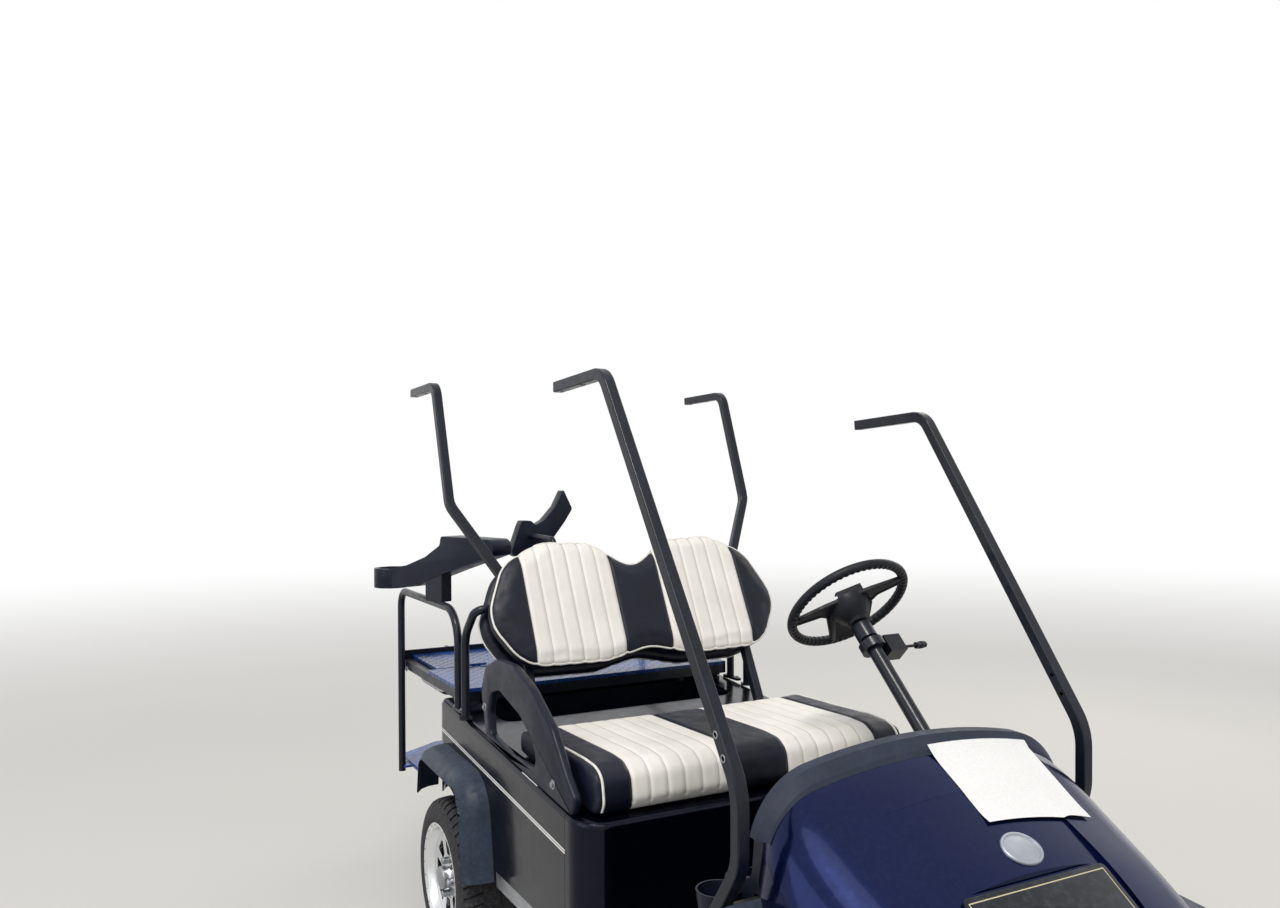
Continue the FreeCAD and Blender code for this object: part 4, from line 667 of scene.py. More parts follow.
class CART_OT_seat_backs(bpy.types.Operator):
    """Front and rear seat backs with pleated ivory panels and white piping"""
    bl_idname = "cart.seat_backs"
    bl_label = "Seat backs"

    def execute(self, context):
        sizes = context.scene.cart_seats
        # Node, how far its frame stands behind the first one, its thickness, way its face looks
        for node, behind, thick, face in (("seat_back", 0.0, 0.0657, -1),
                                          ("rear_seat_back", 0.0983, 0.054, 1)):
            place = lean_frame(behind)
            own = place.inverted()
            board = thick if face < 0 else 0.0
            pad = upholster(sizes, node, f"{node}_pad", own, (0.004, 4.0, 0.008),
                            lambda spot: abs(spot.y - board) < 0.012,
                            lambda spot, side: max(0.0, min(1.0, (side.y * face - 0.15) / 0.4)))
            seam = 0.016 if face < 0 else thick - 0.014
            pipe = piping(pad, place @ Vector((0, seam, 0)), place.to_3x3() @ Vector((0, 1, 0)),
                          f"{node}_piping", sizes.piping_radius)
            skin = (-0.2, seam) if face < 0 else (seam, 0.3)
            cover(sizes, pad, pipe, "chassis", node, f"two_tone_vinyl_{node}", own, skin)
        return {"FINISHED"}


class CART_OT_fold_cushion(bpy.types.Operator):
    """Rear seat cushion that hangs under the folding deck panel"""
    bl_idname = "cart.fold_cushion"
    bl_label = "Fold-away cushion"

    def execute(self, context):
        sizes = context.scene.cart_seats
        low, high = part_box("fold_cushion")
        own = Matrix.Identity(4)
        pad = upholster(sizes, "fold_cushion", "fold_away_cushion", own, (0.004, 3.0, 0.007),
                        lambda spot: spot.z > high[2] - 0.008,
                        lambda spot, side: 0.0 if side.z > 0.4 else 1.0, shallower=0.8)
        pipe = piping(pad, (0, 0, low[2] + 0.020), (0, 0, 1), "fold_away_piping",
                      sizes.piping_radius)
        cover(sizes, pad, pipe, "folding_deck", "fold_cushion", "two_tone_fold_vinyl", own,
              (0.5, 4.0))
        return {"FINISHED"}


# ---------------------------------------------------------------- tyres and wheels

class TyreSizes(bpy.types.PropertyGroup):
    lugs: IntProperty(name="Tread blocks", default=46, min=12,
                      description="Tread blocks around each tyre")
    groove: length("Groove depth", 0.006, "Depth of the tread grooves")
    rivets: IntProperty(name="Lip rivets", default=24, min=4,
                        description="Small rivets around the lip of each wheel")
    windows: IntProperty(name="Wheel windows", default=8, min=4,
                         description="Windows cut through the face of each wheel")


def fit_wheels(model, solid, name, turned_side, material, replaced=True):
    """Put a model on the four wheels, turned about on one side of the cart, and delete it."""
    for wheel in WHEELS:
        node = f"{solid}_{wheel}"
        low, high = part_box(node)
        piece = copy_of(model, name.format(wheel))
        piece.location = Vector(low).lerp(Vector(high), 0.5)
        if wheel.endswith(turned_side):
            piece.rotation_euler = (0, 0, math.pi)
        hand_over(settle(piece), wheel.replace("_", "_wheel_"), material,
                  (node,) if replaced else ())
    bpy.data.objects.remove(model)


# Half section of the tyre: distance from the middle plane, radius
TYRE_HALF = ((0.0, 0.2390), (0.0085, 0.2390), (0.0125, 0.2389), (0.0400, 0.2386),
             (0.0440, 0.2384), (0.0620, 0.2374), (0.0780, 0.2355), (0.0900, 0.2310),
             (0.0985, 0.2220), (0.1035, 0.2100), (0.1072, 0.1930), (0.1066, 0.1800),
             (0.1040, 0.1700), (0.0990, 0.1630), (0.0925, 0.1560), (0.0860, 0.1552))

# Grooves along the tread, from the middle plane, and the radius down to which blocks reach
RIB_GROOVES = ((0.0085, 0.0125), (0.0400, 0.0440))
SHOULDER = 0.2200


def tyre_model(context):
    """One tyre about the X axis at the origin: spun section, curved side blocks, four ribs."""
    sizes = context.scene.cart_tyres
    steps = sizes.lugs * 4
    turn = 2 * math.pi / steps
    half = [(r, x) for x, r in TYRE_HALF]
    tyre = turned([(r, -x) for r, x in reversed(half[1:])] + half, steps, "tyre_section",
                  axis=(1, 0, 0), merge=0.0002)

    def is_groove(centre, normal):
        """Between the ribs, and one step in four from the outer rib to the shoulder."""
        across = abs(centre.x)
        if math.hypot(centre.y, centre.z) < SHOULDER:
            return False
        if any(start < across < end for start, end in RIB_GROOVES):
            return True
        step = int(math.floor(math.atan2(centre.z, centre.y) / turn))
        return across > RIB_GROOVES[1][1] and step % 4 == 0

    take_up(tyre)
    pick_faces(tyre, is_groove)
    bpy.ops.mesh.extrude_region_shrink_fatten(
        TRANSFORM_OT_shrink_fatten={"value": -sizes.groove})
    close_piece()
    # The side grooves sweep back in an arc, by 2.2 steps over the tread from straight to wide
    straight, wide, wall = 0.030, 0.07, 0.20
    for vertex in tyre.data.vertices:
        across = abs(vertex.co.x)
        if across < straight or math.hypot(vertex.co.y, vertex.co.z) < wall:
            continue
        sweep = 2.2 * turn * ((across - straight) / wide) ** 2
        vertex.co = Matrix.Rotation(sweep, 3, "X") @ vertex.co
    open_piece(tyre, "VERT")
    bpy.ops.mesh.remove_doubles(threshold=0.0001)
    bpy.ops.mesh.normals_make_consistent(inside=False)
    close_piece()
    soften(tyre, 30)
    return tyre


class CART_OT_tyres(bpy.types.Operator):
    """Low-profile tyres with swept side blocks and centre ribs"""
    bl_idname = "cart.tyres"
    bl_label = "Tyres"

    def execute(self, context):
        fit_wheels(tyre_model(context), "tyre", "tyre_{}_tread", "driver", tyre_rubber())
        return {"FINISHED"}


# Closed section of the wheel: radius, place along the axle (outside positive)
RIM_SECTION = ((0.1650, -0.0985), (0.1650, -0.1045), (0.1590, -0.1045), (0.1520, -0.0990),
               (0.1477, -0.0940), (0.1477, 0.0500), (0.1420, 0.0590), (0.1310, 0.0655),
               (0.1180, 0.0655), (0.0600, 0.0645), (0.0420, 0.0600), (0.0420, 0.0155),
               (0.0173, 0.0155), (0.0173, 0.0575), (0.0100, 0.0575), (0.0100, 0.0875),
               (0.0300, 0.0875), (0.0340, 0.0760), (0.0400, 0.0735), (0.0600, 0.0735),
               (0.0625, 0.0750), (0.1190, 0.0760), (0.1215, 0.0775), (0.1330, 0.0778),
               (0.1405, 0.0840), (0.1460, 0.0930), (0.1485, 0.0985), (0.1590, 0.1045),
               (0.1650, 0.1045), (0.1650, 0.0985), (0.1547, 0.0922), (0.1547, -0.0922))


# Half of a wheel's window: radius, half angle in degrees
WINDOW_HALF = ((0.067, 9.5), (0.074, 12.0), (0.106, 14.0), (0.113, 11.0))


def wheel_rim_model(context):
    """Spun wheel with windows cut through its face; +X is the outside, origin at the hub."""
    windows = context.scene.cart_tyres.windows
    rim = turned(RIM_SECTION, 96, "wheel_rim", True, (1, 0, 0))
    ring = [(r, math.radians(half)) for r, half in WINDOW_HALF]
    ring += [(r, -a) for r, a in reversed(ring)]
    cutters = []
    for i in range(windows):
        middle = 2 * math.pi * i / windows
        outline = [(r * math.cos(a + middle), r * math.sin(a + middle)) for r, a in ring]
        cutters.append(plate(outline, 0.045, 0.100, f"window_{i}"))
    cutter = moved(join(cutters, "windows"), Matrix.Rotation(math.pi / 2, 4, "Y"))
    modify(rim, "BOOLEAN", object=cutter, operation="DIFFERENCE", solver="EXACT")
    bpy.data.objects.remove(cutter)
    soften(rim, 28)
    return rim


class CART_OT_wheel_rims(bpy.types.Operator):
    """Polished wheels with windows in their faces"""
    bl_idname = "cart.wheel_rims"
    bl_label = "Wheel rims"

    def execute(self, context):
        fit_wheels(wheel_rim_model(context), "rim", "wheel_rim_{}", "passenger",
                   plain_finish("polished_cast_aluminium"))
        return {"FINISHED"}


def wheel_trim_model(context):
    """Centre cap, four lug nuts and lip rivets; +X is the outside, origin at the hub."""
    parts = []
    # Sides, radius, depth, place out and up, insets of the face as thickness and depth, bevel,
    # and how many stand around the hub
    for sides, radius, depth, out, up, insets, bevel, count in (
            (48, 0.034, 0.016, 0.0915, 0.0, ((0.007, 0.004), (0.010, 0.0015)), 0.0012, 1),
            (6, 0.0115, 0.022, 0.0825, 0.0508, ((0.003, 0.003),), 0.0009, 4),
            (10, 0.0021, 0.0016, 0.1052, 0.1585, ((0.0008, 0.0007),), 0.0,
             context.scene.cart_tyres.rivets)):
        bpy.ops.mesh.primitive_cylinder_add(vertices=sides, radius=radius, depth=depth,
                                            location=(out, up, 0), rotation=(0, math.pi / 2, 0))
        first = settle(named("trim_bit"))
        open_piece(first)
        pick_faces(first, lambda centre, normal: normal.x > 0.9)
        for thickness, sunk in insets:
            bpy.ops.mesh.inset(thickness=thickness, depth=sunk)
        close_piece()
        if bevel:
            modify(first, "BEVEL", width=bevel, segments=2, limit_method="ANGLE")
        parts.append(first)
        for i in range(1, count):
            other = copy_of(first, f"trim_bit_{i}")
            other.rotation_euler = (2 * math.pi / count * i, 0, 0)
            parts.append(settle(other))
    trim = join(parts, "wheel_trim")
    soften(trim, 30)
    return trim


class CART_OT_wheel_trim(bpy.types.Operator):
    """Centre caps, lug nuts and lip rivets on the four wheels"""
    bl_idname = "cart.wheel_trim"
    bl_label = "Wheel trim"

    def execute(self, context):
        fit_wheels(wheel_trim_model(context), "rim", "wheel_trim_{}", "passenger",
                   plain_finish("zinc_plate"), False)
        return {"FINISHED"}


# ---------------------------------------------------------------- steering wheel

class GripSizes(bpy.types.PropertyGroup):
    radius: length("Ring radius", 0.163, "Middle line of the steering wheel ring")
    section: length("Section radius", 0.0134, "Radius of the padded ring")
    bumps: IntProperty(name="Finger bumps", default=60, min=12,
                       description="Finger bumps on the inside of the ring")
    turn: FloatProperty(name="Wheel turn", default=math.radians(-30), unit="ROTATION",
                        description="How far the parked wheel's bar is turned")


# Moulded centre of the steering wheel in plan, from its top bar down to the foot of its pad
WHEEL_PAD = ((-0.158, -0.036), (-0.060, -0.047), (0.060, -0.047), (0.158, -0.036),
             (0.161, -0.012), (0.084, -0.002), (0.066, 0.016), (0.056, 0.157), (-0.056, 0.157),
             (-0.066, 0.016), (-0.084, -0.002), (-0.161, -0.012))

# Bell under the wheel: radius, height
WHEEL_BELL = ((0.0, -0.0665), (0.0275, -0.0665), (0.0285, -0.0650), (0.0285, -0.0560),
              (0.0340, -0.0500), (0.0440, -0.0380), (0.0520, -0.0240), (0.0560, -0.0090),
              (0.0560, 0.0010), (0.0, 0.0010))

# Pad over the hub on the driver's side: radius, height
WHEEL_CAP = ((0.0, 0.0140), (0.0210, 0.0135), (0.0225, 0.0120), (0.0225, 0.0105),
             (0.0245, 0.0105), (0.0370, 0.0080), (0.0430, 0.0040), (0.0450, -0.0040),
             (0.0, -0.0040))

# Clip that stands on the wheel's bar, seen along the bar: across, up
WHEEL_CLIP = ((-0.046, 0.000), (-0.046, 0.015), (-0.048, 0.019), (-0.020, 0.027),
              (-0.019, 0.023), (-0.042, 0.015), (-0.042, 0.000))


def wheel_frame():
    """Frame of the steering wheel: Z along the column, up to the driver."""
    return (Matrix.Translation((0.248, 0.734, 1.131))
            @ Matrix.Rotation(math.radians(-45), 4, "X"))


def wheel_centre(turn):
    """Bar, pad, ribs, bell, cap and clip of the steering wheel, turned about its column."""
    parts = [plate(WHEEL_PAD, -0.011, 0.001, "wheel_pad", 0.003, 3)]
    open_piece(parts[0])
    pick_faces(parts[0], lambda centre, normal: normal.z < -0.95)
    bpy.ops.mesh.inset(thickness=0.005, depth=-0.003)
    close_piece()
    for sign in (-1, 1):
        rib = plate([(sign * 0.047, -0.004), (sign * 0.061, -0.004), (sign * 0.055, 0.150),
                     (sign * 0.044, 0.150)], -0.024, -0.006, f"wheel_rib_{sign}", 0.002)
        for vertex in rib.data.vertices:
            if vertex.co.z < -0.015:
                vertex.co.z += 0.011 * max(0.0, vertex.co.y) / 0.150
        parts.append(rib)
    parts.append(turned(WHEEL_BELL, 48, "wheel_bell"))
    parts.append(turned(WHEEL_CAP, 48, "wheel_cap"))
    clip = plate(WHEEL_CLIP, -0.026, 0.046, "wheel_clip", 0.0008)
    parts.append(moved(clip, Matrix(((0, 0, 1, 0), (1, 0, 0, 0), (0, 1, 0, 0), (0, 0, 0, 1)))))
    centre = join(parts, "wheel_centre")
    return moved(centre, Matrix.Rotation(turn, 4, "Z"))


class CART_OT_steering_grip(bpy.types.Operator):
    """Steering wheel: padded ring with finger bumps, bar, pad, bell and clip"""
    bl_idname = "cart.steering_grip"
    bl_label = "Steering wheel"

    def execute(self, context):
        sizes = context.scene.cart_grip
        place = wheel_frame()
        bpy.ops.mesh.primitive_torus_add(major_segments=sizes.bumps * 4, minor_segments=20,
                                         major_radius=sizes.radius, minor_radius=sizes.section)
        grip = named("steering_grip")
        step = 2 * math.pi / (sizes.bumps * 4)

        def bump(centre, normal):
            index = int(math.floor(math.atan2(centre.y, centre.x) / step))
            inward = -(normal.x * centre.x + normal.y * centre.y) / centre.length
            return index % 4 == 0 and inward > -0.2 and normal.z < 0.75

        open_piece(grip)
        pick_faces(grip, bump)
        bpy.ops.transform.shrink_fatten(value=-0.0022)
        close_piece()
        modify(grip, "SUBSURF", levels=1, render_levels=1)
        wheel = join([grip, wheel_centre(sizes.turn)], "steering_wheel_moulding")
        moved(wheel, place)
        soften(wheel, 40)
        hand_over(wheel, "steering_wheel", plain_finish("moulded_polyurethane"),
                  ("steering_wheel",))
        # Six-sided knob at the end of the signal lever: along the lever, radius
        knob = turned(((0.0, 0.0), (0.0052, 0.0), (0.0062, 0.0060), (0.0108, 0.0130),
                       (0.0112, 0.0200), (0.0085, 0.0370), (0.0040, 0.0390), (0.0, 0.0390)), 6,
                      "signal_lever_knob")
        moved(knob, place @ Matrix.Translation((0.1385, 0.003, -0.150))
              @ Matrix.Rotation(math.pi / 2, 4, "Y"))
        hand_over(knob, "chassis", plain_finish("moulded_polyurethane"))
        return {"FINISHED"}


# ---------------------------------------------------------------- hood, stripe, bolts

class TrimSizes(bpy.types.PropertyGroup):
    stripe_rise: length("Stripe height", 0.4861,
                        "Height of the pinstripe's line over the front axle")
    stripe_slope: FloatProperty(name="Stripe slope", default=0.0839,
                                description="Rise of the pinstripe for each metre rearward")
    stripe_half: length("Stripe half width", 0.0055, "Half the width of the pinstripe")
    paper: FloatVectorProperty(name="Paper size", default=(0.279, 0.216), size=2,
                               unit="LENGTH", description="Width and length of the sheet")


# Height over the hood from which pieces are dropped onto it
DROP = 1.2


class CART_OT_pinstripe(bpy.types.Operator):
    """Double pinstripe around the rear body"""
    bl_idname = "cart.pinstripe"
    bl_label = "Pinstripe"

    def execute(self, context):
        sizes = context.scene.cart_trim
        stripe = copy_of_node("rear_body", "body_pinstripe")
        way = Vector((0, -sizes.stripe_slope, 1)).normalized()
        point = Vector((0, 0, sizes.stripe_rise))
        open_piece(stripe)
        bpy.ops.mesh.bisect(plane_co=point + way * sizes.stripe_half, plane_no=way,
                            clear_outer=True)
        bpy.ops.mesh.select_all(action="SELECT")
        bpy.ops.mesh.bisect(plane_co=point - way * sizes.stripe_half, plane_no=way,
                            clear_inner=True)
        # Only upright faces that look away from the body's middle keep it
        middle, along, steep = 1.4, 0.45, 0.7
        pick_faces(stripe, lambda centre, normal: abs(normal.z) > steep or normal.dot(
            Vector((centre.x, along * (centre.y - middle), 0))) < 0.12)
        bpy.ops.mesh.delete(type="FACE")
        bpy.ops.mesh.select_all(action="SELECT")
        bpy.ops.transform.shrink_fatten(value=0.0004)
        close_piece()
        soften(stripe, 60)
        hand_over(stripe, "chassis", stripe_vinyl(sizes.stripe_slope, sizes.stripe_rise))
        return {"FINISHED"}


# Corners of the paper in plan, left and right, at its rear edge and at its front edge
PAPER_CORNERS = (((0.0065, 0.1819), (0.2959, 0.1847)), ((-0.0037, 0.0017), (0.2714, -0.0084)))


class CART_OT_hood_sheet(bpy.types.Operator):
    """Blank sheet of paper laid on the hood"""
    bl_idname = "cart.hood_sheet"
    bl_label = "Hood sheet"

    def execute(self, context):
        width, length_along = context.scene.cart_trim.paper
        under = join([copy_of_node("front_cowl", "hood_top"),
                      copy_of_node("cowl_brow", "brow_top")], "paper_bed")
        bpy.ops.mesh.primitive_grid_add(x_subdivisions=36, y_subdivisions=28, size=2)
        paper = named("hood_sheet")
        for vertex in paper.data.vertices:
            across, along = (vertex.co.x + 1) / 2, (1 - vertex.co.y) / 2
            rear, front = (Vector(left).lerp(Vector(right), across)
                           for left, right in PAPER_CORNERS)
            vertex.co = (*rear.lerp(front, along), DROP)
        modify(paper, "SHRINKWRAP", target=under, wrap_method="PROJECT", use_project_z=True,
               use_negative_direction=True, use_positive_direction=False, offset=0.0012)
        bpy.data.objects.remove(under)
        self.bridge(paper.data, 16, 0.006)
        soften(paper, 180)
        hand_over(paper, "chassis", office_paper())
        return {"FINISHED"}

    def bridge(self, mesh, rounds, most):
        """The stiff sheet bridges the creases under it, and lifts by no more than most."""
        bed = [vertex.co.z for vertex in mesh.vertices]
        for _ in range(rounds):
            sums = [[0.0, 0] for level in bed]
            for edge in mesh.edges:
                for one, other in (edge.vertices, reversed(edge.vertices)):
                    sums[one][0] += mesh.vertices[other].co.z
                    sums[one][1] += 1
            for vertex, (total, count), level in zip(mesh.vertices, sums, bed):
                vertex.co.z = min(level + most, max(level, total / count))


class CART_OT_hood_plates(bpy.types.Operator):
    """Blank plaque with a thin border, and a plain oval medallion"""
    bl_idname = "cart.hood_plates"
    bl_label = "Hood plates"

    def execute(self, context):
        half_width, half_length, corner = 0.186, 0.056, 0.012
        turn = math.radians(37)
        place = Matrix.Translation((0, -0.100, 0.72315)) @ Matrix.Rotation(turn, 4, "X")
        outline = []
        for sx, sy in ((1, 1), (-1, 1), (-1, -1), (1, -1)):
            start = math.atan2(sy, sx) - math.pi / 4
            for step in range(5):
                angle = start + step * math.pi / 8
                outline.append((sx * (half_width - corner) + corner * math.cos(angle),
                                sy * (half_length - corner) + corner * math.sin(angle)
                                - half_length))
        plaque = plate(outline, 0.0003, 0.0043, "blank_plaque", 0.0009)
        moved(plaque, place)
        soften(plaque, 30)
        centre = place @ Vector((0, -half_length, 0))
        material = printed_plate(centre, turn, half_width, half_length, 0.010, 0.0022)
        hand_over(plaque, "chassis", material, ("nameplate",))
        # Oval medallion with a raised rim and a low dome in its sunk field: radius, height
        medal = turned(((0.0, 0.0058), (0.014, 0.0056), (0.028, 0.0046), (0.0365, 0.0030),
                        (0.0378, 0.0030), (0.0395, 0.0056), (0.0420, 0.0060), (0.0445, 0.0052),
                        (0.0460, 0.0030), (0.0460, 0.0003), (0.0, 0.0003)), 72,
                       "oval_medallion")
        seat = surface_of(CAD["front_cowl"])
        middle_x, middle_y, sunk, up = 0.021, -0.053, 0.0005, Vector((0, -0.5, 0.866))
        for vertex in medal.data.vertices:
            x, y = vertex.co.x + middle_x, vertex.co.y * 33 / 46 + middle_y
            hit = seat.ray_cast(Vector((x, y, DROP)), Vector((0, 0, -1)))[0]
            vertex.co = Vector((x, y, hit.z)) + up * (vertex.co.z - sunk)
        soften(medal, 40)
        hand_over(medal, "chassis", plain_finish("die_cast_pewter"),
                  ("nameplate",))
        return {"FINISHED"}


# Fasteners: kind, solid, starts and way of the lines that find its surface, radius, mirrored
FASTENERS = (
    ("hex", "hip_restraint", ((-0.60, 0.945, 0.705), (-0.60, 1.454, 0.800)), (1, 0, 0), 0.008,
     False),
    ("hex", "kit_side_frames", ((-0.516, 1.690, 0.90), (-0.516, 1.752, 0.90)), (0, 0, -1), 0.006,
     True),
    ("hex", "front_struts", ((-0.494, 0.466, 0.45),), (0, 0, -1), 0.007, True),
    ("hex", "deck_frame", ((-0.60, 1.800, 0.756), (-0.60, 2.400, 0.756)), (1, 0, 0), 0.007, True),
    ("hex", "deck_frame", ((-0.38, 2.550, 0.768), (-0.12, 2.550, 0.768)), (0, -1, 0), 0.007,
     True),
    ("hex", "rear_body", ((-0.30, 2.20, 0.62),), (0, -1, 0), 0.007, True),
    ("hex", "foot_plate", ((-0.34, 2.310, 0.50), (-0.34, 2.480, 0.50)), (0, 0, -1), 0.006, True),
    ("dome", "rocker_strips", ((-0.60, 0.400, 0.324), (-0.60, 0.640, 0.324),
                               (-0.60, 0.880, 0.324), (-0.60, 1.120, 0.324)), (1, 0, 0), 0.005,
     True),
    ("ring", "front_struts", ((-0.60, 0.20506, 0.94287), (-0.60, 0.23211, 0.98253)), (1, 0, 0),
     0.0050, False),
    ("ring", "front_struts", ((0.60, 0.21858, 0.96270), (0.60, 0.24563, 1.00236)), (-1, 0, 0),
     0.0050, False),
    ("ring", "front_struts", ((-0.471, 0.99147, 1.60), (-0.471, 0.86347, 1.60)), (0, 0, 1),
     0.0050, False),
    ("ring", "rear_struts", ((-0.551, 2.066, 1.60), (-0.551, 1.948, 1.60)), (0, 0, 1), 0.0050,
     True),
)

# Models of the fasteners for a radius of 1: section of radius and height, sides
FASTENER_SECTIONS = {
    "hex": (((0.0, 0.85), (0.72, 0.85), (1.0, 0.70), (1.0, 0.0), (0.0, 0.0)), 6),
    "dome": (((0.0, 0.55), (0.45, 0.50), (0.85, 0.30), (1.0, 0.0), (0.0, 0.0)), 16),
    "ring": (((1.0, -0.1), (1.0, 0.16), (1.12, 0.24), (1.5, 0.24), (1.65, 0.12), (1.65, -0.1),
              (1.0, -0.1)), 24),
}


class CART_OT_bolts(bpy.types.Operator):
    """Hex bolts, dome rivets and the bare rims of the strut holes"""
    bl_idname = "cart.bolts"
    bl_label = "Bolts"

    def execute(self, context):
        models = {kind: turned(section, sides, f"model_{kind}")
                  for kind, (section, sides) in FASTENER_SECTIONS.items()}
        washer = turned(((0.0, 0.2), (1.5, 0.2), (1.6, 0.1), (1.6, 0.0), (0.0, 0.0)), 20,
                        "model_washer")
        models["hex"] = join([models["hex"], washer], "model_hex")
        made = []
        for kind, node, starts, way, radius, both in FASTENERS:
            skin = surface_of(CAD[node])
            for start, sign in ((s, sign) for s in starts for sign in ((1, -1) if both else (1,))):
                mirror = Vector((sign, 1, 1))
                line, first = Vector(way) * mirror, Vector(start) * mirror
                # A hole's rim is found beside the hole
                aside = line.orthogonal().normalized() * (0.0075 if kind == "ring" else 0.0)
                hit = skin.ray_cast(first + aside, line)[0]
                if hit is None:
                    raise RuntimeError(f"no surface under a fastener of {node}: {start}")
                turn = Vector((0, 0, 1)).rotation_difference(-line).to_matrix().to_4x4()
                made.append(moved(copy_of(models[kind], f"{kind}_{len(made)}"),
                                  Matrix.Translation(hit - aside) @ turn
                                  @ Matrix.Scale(radius, 4)))
        for model in models.values():
            bpy.data.objects.remove(model)
        done = join(made, "chassis_fasteners")
        soften(done, 30)
        hand_over(done, "chassis", plain_finish("zinc_plate"))
        return {"FINISHED"}


# Moulded parts with soft edges: solid, radius of the edge, slot
SOFT_EDGED = (
    ("hip_restraint", 0.0075, "dark_trim"),
    ("rear_armrests", 0.0060, "dark_trim"),
    ("rear_flares", 0.0, "flare_plastic"),
    ("front_flares", 0.0, "flare_plastic"),
)


class CART_OT_soft_edges(bpy.types.Operator):
    """Rounded edges and even curves on the moulded parts"""
    bl_idname = "cart.soft_edges"
    bl_label = "Soft edges"

    def execute(self, context):
        for node, radius, slot in SOFT_EDGED:
            piece = copy_of_node(node, f"{node}_moulding")
            if radius:
                open_piece(piece)
                bpy.ops.mesh.dissolve_limited(angle_limit=math.radians(1.0))
                close_piece()
                modify(piece, "BEVEL", width=radius, segments=3, limit_method="ANGLE",
                       angle_limit=math.radians(50))
            soften(piece, 32)
            hand_over(piece, "chassis", finish_of(node, slot), (node,))
        return {"FINISHED"}


class CART_OT_finishes(bpy.types.Operator):
    """Real finishes on the solids that stay"""
    bl_idname = "cart.finishes"
    bl_label = "Finishes"

    def execute(self, context):
        checker = checker_gel_coat("blue_checker_gel_coat", 0.030)
        for name, node in CAD.items():
            for held in node.material_slots:
                slot = held.material.name.split(".")[0]
                if slot == "deck_blue":
                    held.material = checker
                elif slot in SLOT_FINISH:
                    held.material = finish_of(name, slot)
        return {"FINISHED"}


# ---------------------------------------------------------------- studio

class StudioSettings(bpy.types.PropertyGroup):
    floor_colour: FloatVectorProperty(name="Floor colour", subtype="COLOR", size=3,
                                      default=linear("#d6d6d4")[:3],
                                      description="Colour of the studio floor")
    world_light: FloatProperty(name="World light", default=0.36,
                               description="Strength of the even light from all sides")
    sun_light: FloatProperty(name="Sun", default=1.7,
                             description="Strength of the soft sun that gives the main shadow")
    key_light: FloatProperty(name="Key light", default=60.0, unit="POWER",
                             description="Power of the large lamp overhead")
    fade_start: length("Fade start", 4.0, "Where the floor begins to turn into the white")
    fade_end: length("Fade end", 16.0, "Where the floor has turned into the white")


# Large lamps: name, place, target, size, share of the key light, tint
LAMPS = (("overhead_lamp", (-1.6, -1.2, 4.6), (0, 0.9, 0.6), 3.2, 1.0, "#fff8ee"),
         ("left_lamp", (-4.4, 0.6, 2.4), (0, 0.9, 0.7), 2.6, 0.5, "#eef4ff"),
         ("right_lamp", (4.2, 2.8, 3.2), (0, 0.9, 0.7), 2.6, 0.5, "#fff8ee"))


def seen_white(add):
    """1 for the camera's rays and for mirrored or refracted ones, and 0 for light's own."""
    rays = add("LightPath").node.outputs
    gloss = add("Math", rays["Is Glossy Ray"], rays["Is Transmission Ray"], operation="MAXIMUM")
    return add("Math", rays["Is Camera Ray"], gloss, operation="MAXIMUM")


def add_lamp(name, kind, energy, tint, spot, way, **settings):
    light = bpy.data.lights.new(name, kind)
    light.energy = energy
    light.color = linear(tint)[:3]
    for key, value in settings.items():
        setattr(light, key, value)
    lamp = bpy.data.objects.new(name, light)
    bpy.context.collection.objects.link(lamp)
    lamp.location = spot
    lamp.rotation_euler = way.to_track_quat("-Z", "Y").to_euler()


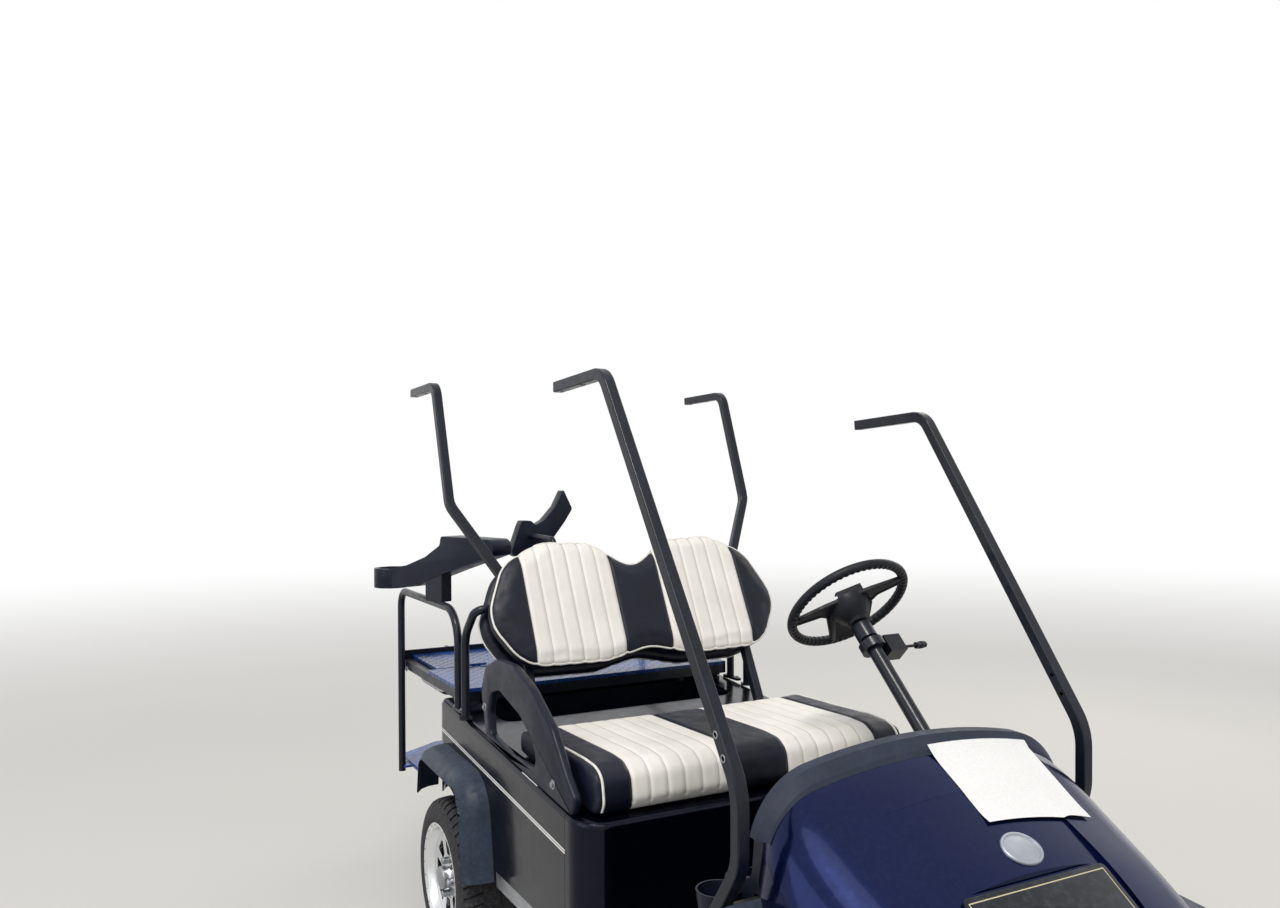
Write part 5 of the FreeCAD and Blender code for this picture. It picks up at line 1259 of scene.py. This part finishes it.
class CART_OT_studio(bpy.types.Operator):
    """Floor, soft lamps, white surround and the camera"""
    bl_idname = "cart.studio"
    bl_label = "Studio"

    def execute(self, context):
        settings = context.scene.cart_studio
        self.lay_floor(settings)
        add_lamp("soft_sun", "SUN", settings.sun_light, "#fffaf2", (0, 0, 0),
                 Vector((0.42, 0.36, -1)), angle=math.radians(14))
        for name, spot, aim, size, share, tint in LAMPS:
            add_lamp(name, "AREA", settings.key_light * share, tint, spot,
                     Vector(aim) - Vector(spot), size=size)
        world = bpy.data.worlds.new("studio")
        context.scene.world = world
        world.use_nodes = True
        world.node_tree.nodes.clear()
        add = partial(add_node, world.node_tree)
        soft = add("Background", "#f4f6fa", settings.world_light)
        white = add("Background", (1, 1, 1, 1), 1.0)
        add("OutputWorld", add("MixShader", seen_white(add), soft, white))
        context.scene.view_settings.view_transform = "Standard"
        self.place_camera(context)
        return {"FINISHED"}

    def lay_floor(self, settings):
        """A pale floor that turns into the white surround far from the cart."""
        bpy.ops.object.select_all(action="DESELECT")
        bpy.ops.mesh.primitive_plane_add(size=120, location=(0, 30, 0))
        floor = settle(named("studio_floor"))
        material, add, place = open_material("studio_floor")
        base = (*settings.floor_colour, 1)
        shader = shade(add, [], Roughness=0.85,
                       Base_Color=add("Mix", cloudiness(add, place, 1.6, 2.0), i6=base,
                                      i7=tuple(c * 1.02 for c in base), **RGBA))
        far = add("MapRange", add("VectorMath", place, operation="LENGTH", out="Value"),
                  settings.fade_start, settings.fade_end, interpolation_type="SMOOTHSTEP")
        share = add("Math", seen_white(add), far, operation="MULTIPLY")
        mixed = add("MixShader", share, shader, add("Emission", (1, 1, 1, 1), 1.0))
        tree = material.node_tree
        tree.links.new(mixed, tree.nodes["Material Output"].inputs[0])
        paint(floor, material)

    def place_camera(self, context):
        """The photograph's view: a hand-held lens ahead of the cart on its passenger side."""
        yaw, pitch, roll = (math.radians(v) for v in (27.8369, 0.3078, -0.4392))
        right = Vector((math.cos(yaw), -math.sin(yaw), 0))
        ahead = Vector((math.sin(yaw) * math.cos(pitch), math.cos(yaw) * math.cos(pitch),
                        math.sin(pitch)))
        up = right.cross(ahead)
        side = right * math.cos(roll) + up * math.sin(roll)
        top = up * math.cos(roll) - right * math.sin(roll)
        lens = bpy.data.cameras.new("photo_camera")
        lens.sensor_fit = "HORIZONTAL"
        lens.sensor_width = 36
        # Focal length, the lens's middle and the photograph's size in its pixels
        focal, middle, wide, tall = 1033.8, 466.95, 1280, 908
        lens.lens = focal * lens.sensor_width / wide
        lens.shift_y = (middle - tall / 2) / wide
        camera = bpy.data.objects.new("photo_camera", lens)
        context.collection.objects.link(camera)
        turn = Matrix((side, top, -ahead)).transposed().to_4x4()
        camera.matrix_world = Matrix.Translation((-1.5387, -1.4616, 1.4878)) @ turn
        context.scene.camera = camera


class CART_PT_panel(bpy.types.Panel):
    """Sidebar panel with one button for each group of pieces"""
    bl_idname = "CART_PT_panel"
    bl_label = "Golf Cart"
    bl_space_type = "VIEW_3D"
    bl_region_type = "UI"
    bl_category = "Golf Cart"

    def draw(self, context):
        for operator in OPERATORS:
            self.layout.operator(operator.bl_idname)


GROUPS = (("cart_seats", SeatSizes), ("cart_tyres", TyreSizes), ("cart_grip", GripSizes),
          ("cart_trim", TrimSizes), ("cart_studio", StudioSettings))

OPERATORS = (CART_OT_finishes, CART_OT_soft_edges, CART_OT_seat_cushion, CART_OT_seat_backs,
             CART_OT_fold_cushion, CART_OT_tyres, CART_OT_wheel_rims, CART_OT_wheel_trim,
             CART_OT_steering_grip, CART_OT_pinstripe, CART_OT_hood_sheet, CART_OT_hood_plates,
             CART_OT_bolts, CART_OT_studio)


def register():
    for name, group in GROUPS:
        bpy.utils.register_class(group)
        setattr(bpy.types.Scene, name, PointerProperty(type=group))
    for kind in (*OPERATORS, CART_PT_panel):
        bpy.utils.register_class(kind)


def unregister():
    for kind in reversed((*OPERATORS, CART_PT_panel)):
        bpy.utils.unregister_class(kind)
    for name, group in reversed(GROUPS):
        delattr(bpy.types.Scene, name)
        bpy.utils.unregister_class(group)


def main():
    register()
    for operator in OPERATORS:
        family, name = operator.bl_idname.split(".")
        getattr(getattr(bpy.ops, family), name)()


if __name__ == "__main__":
    main()
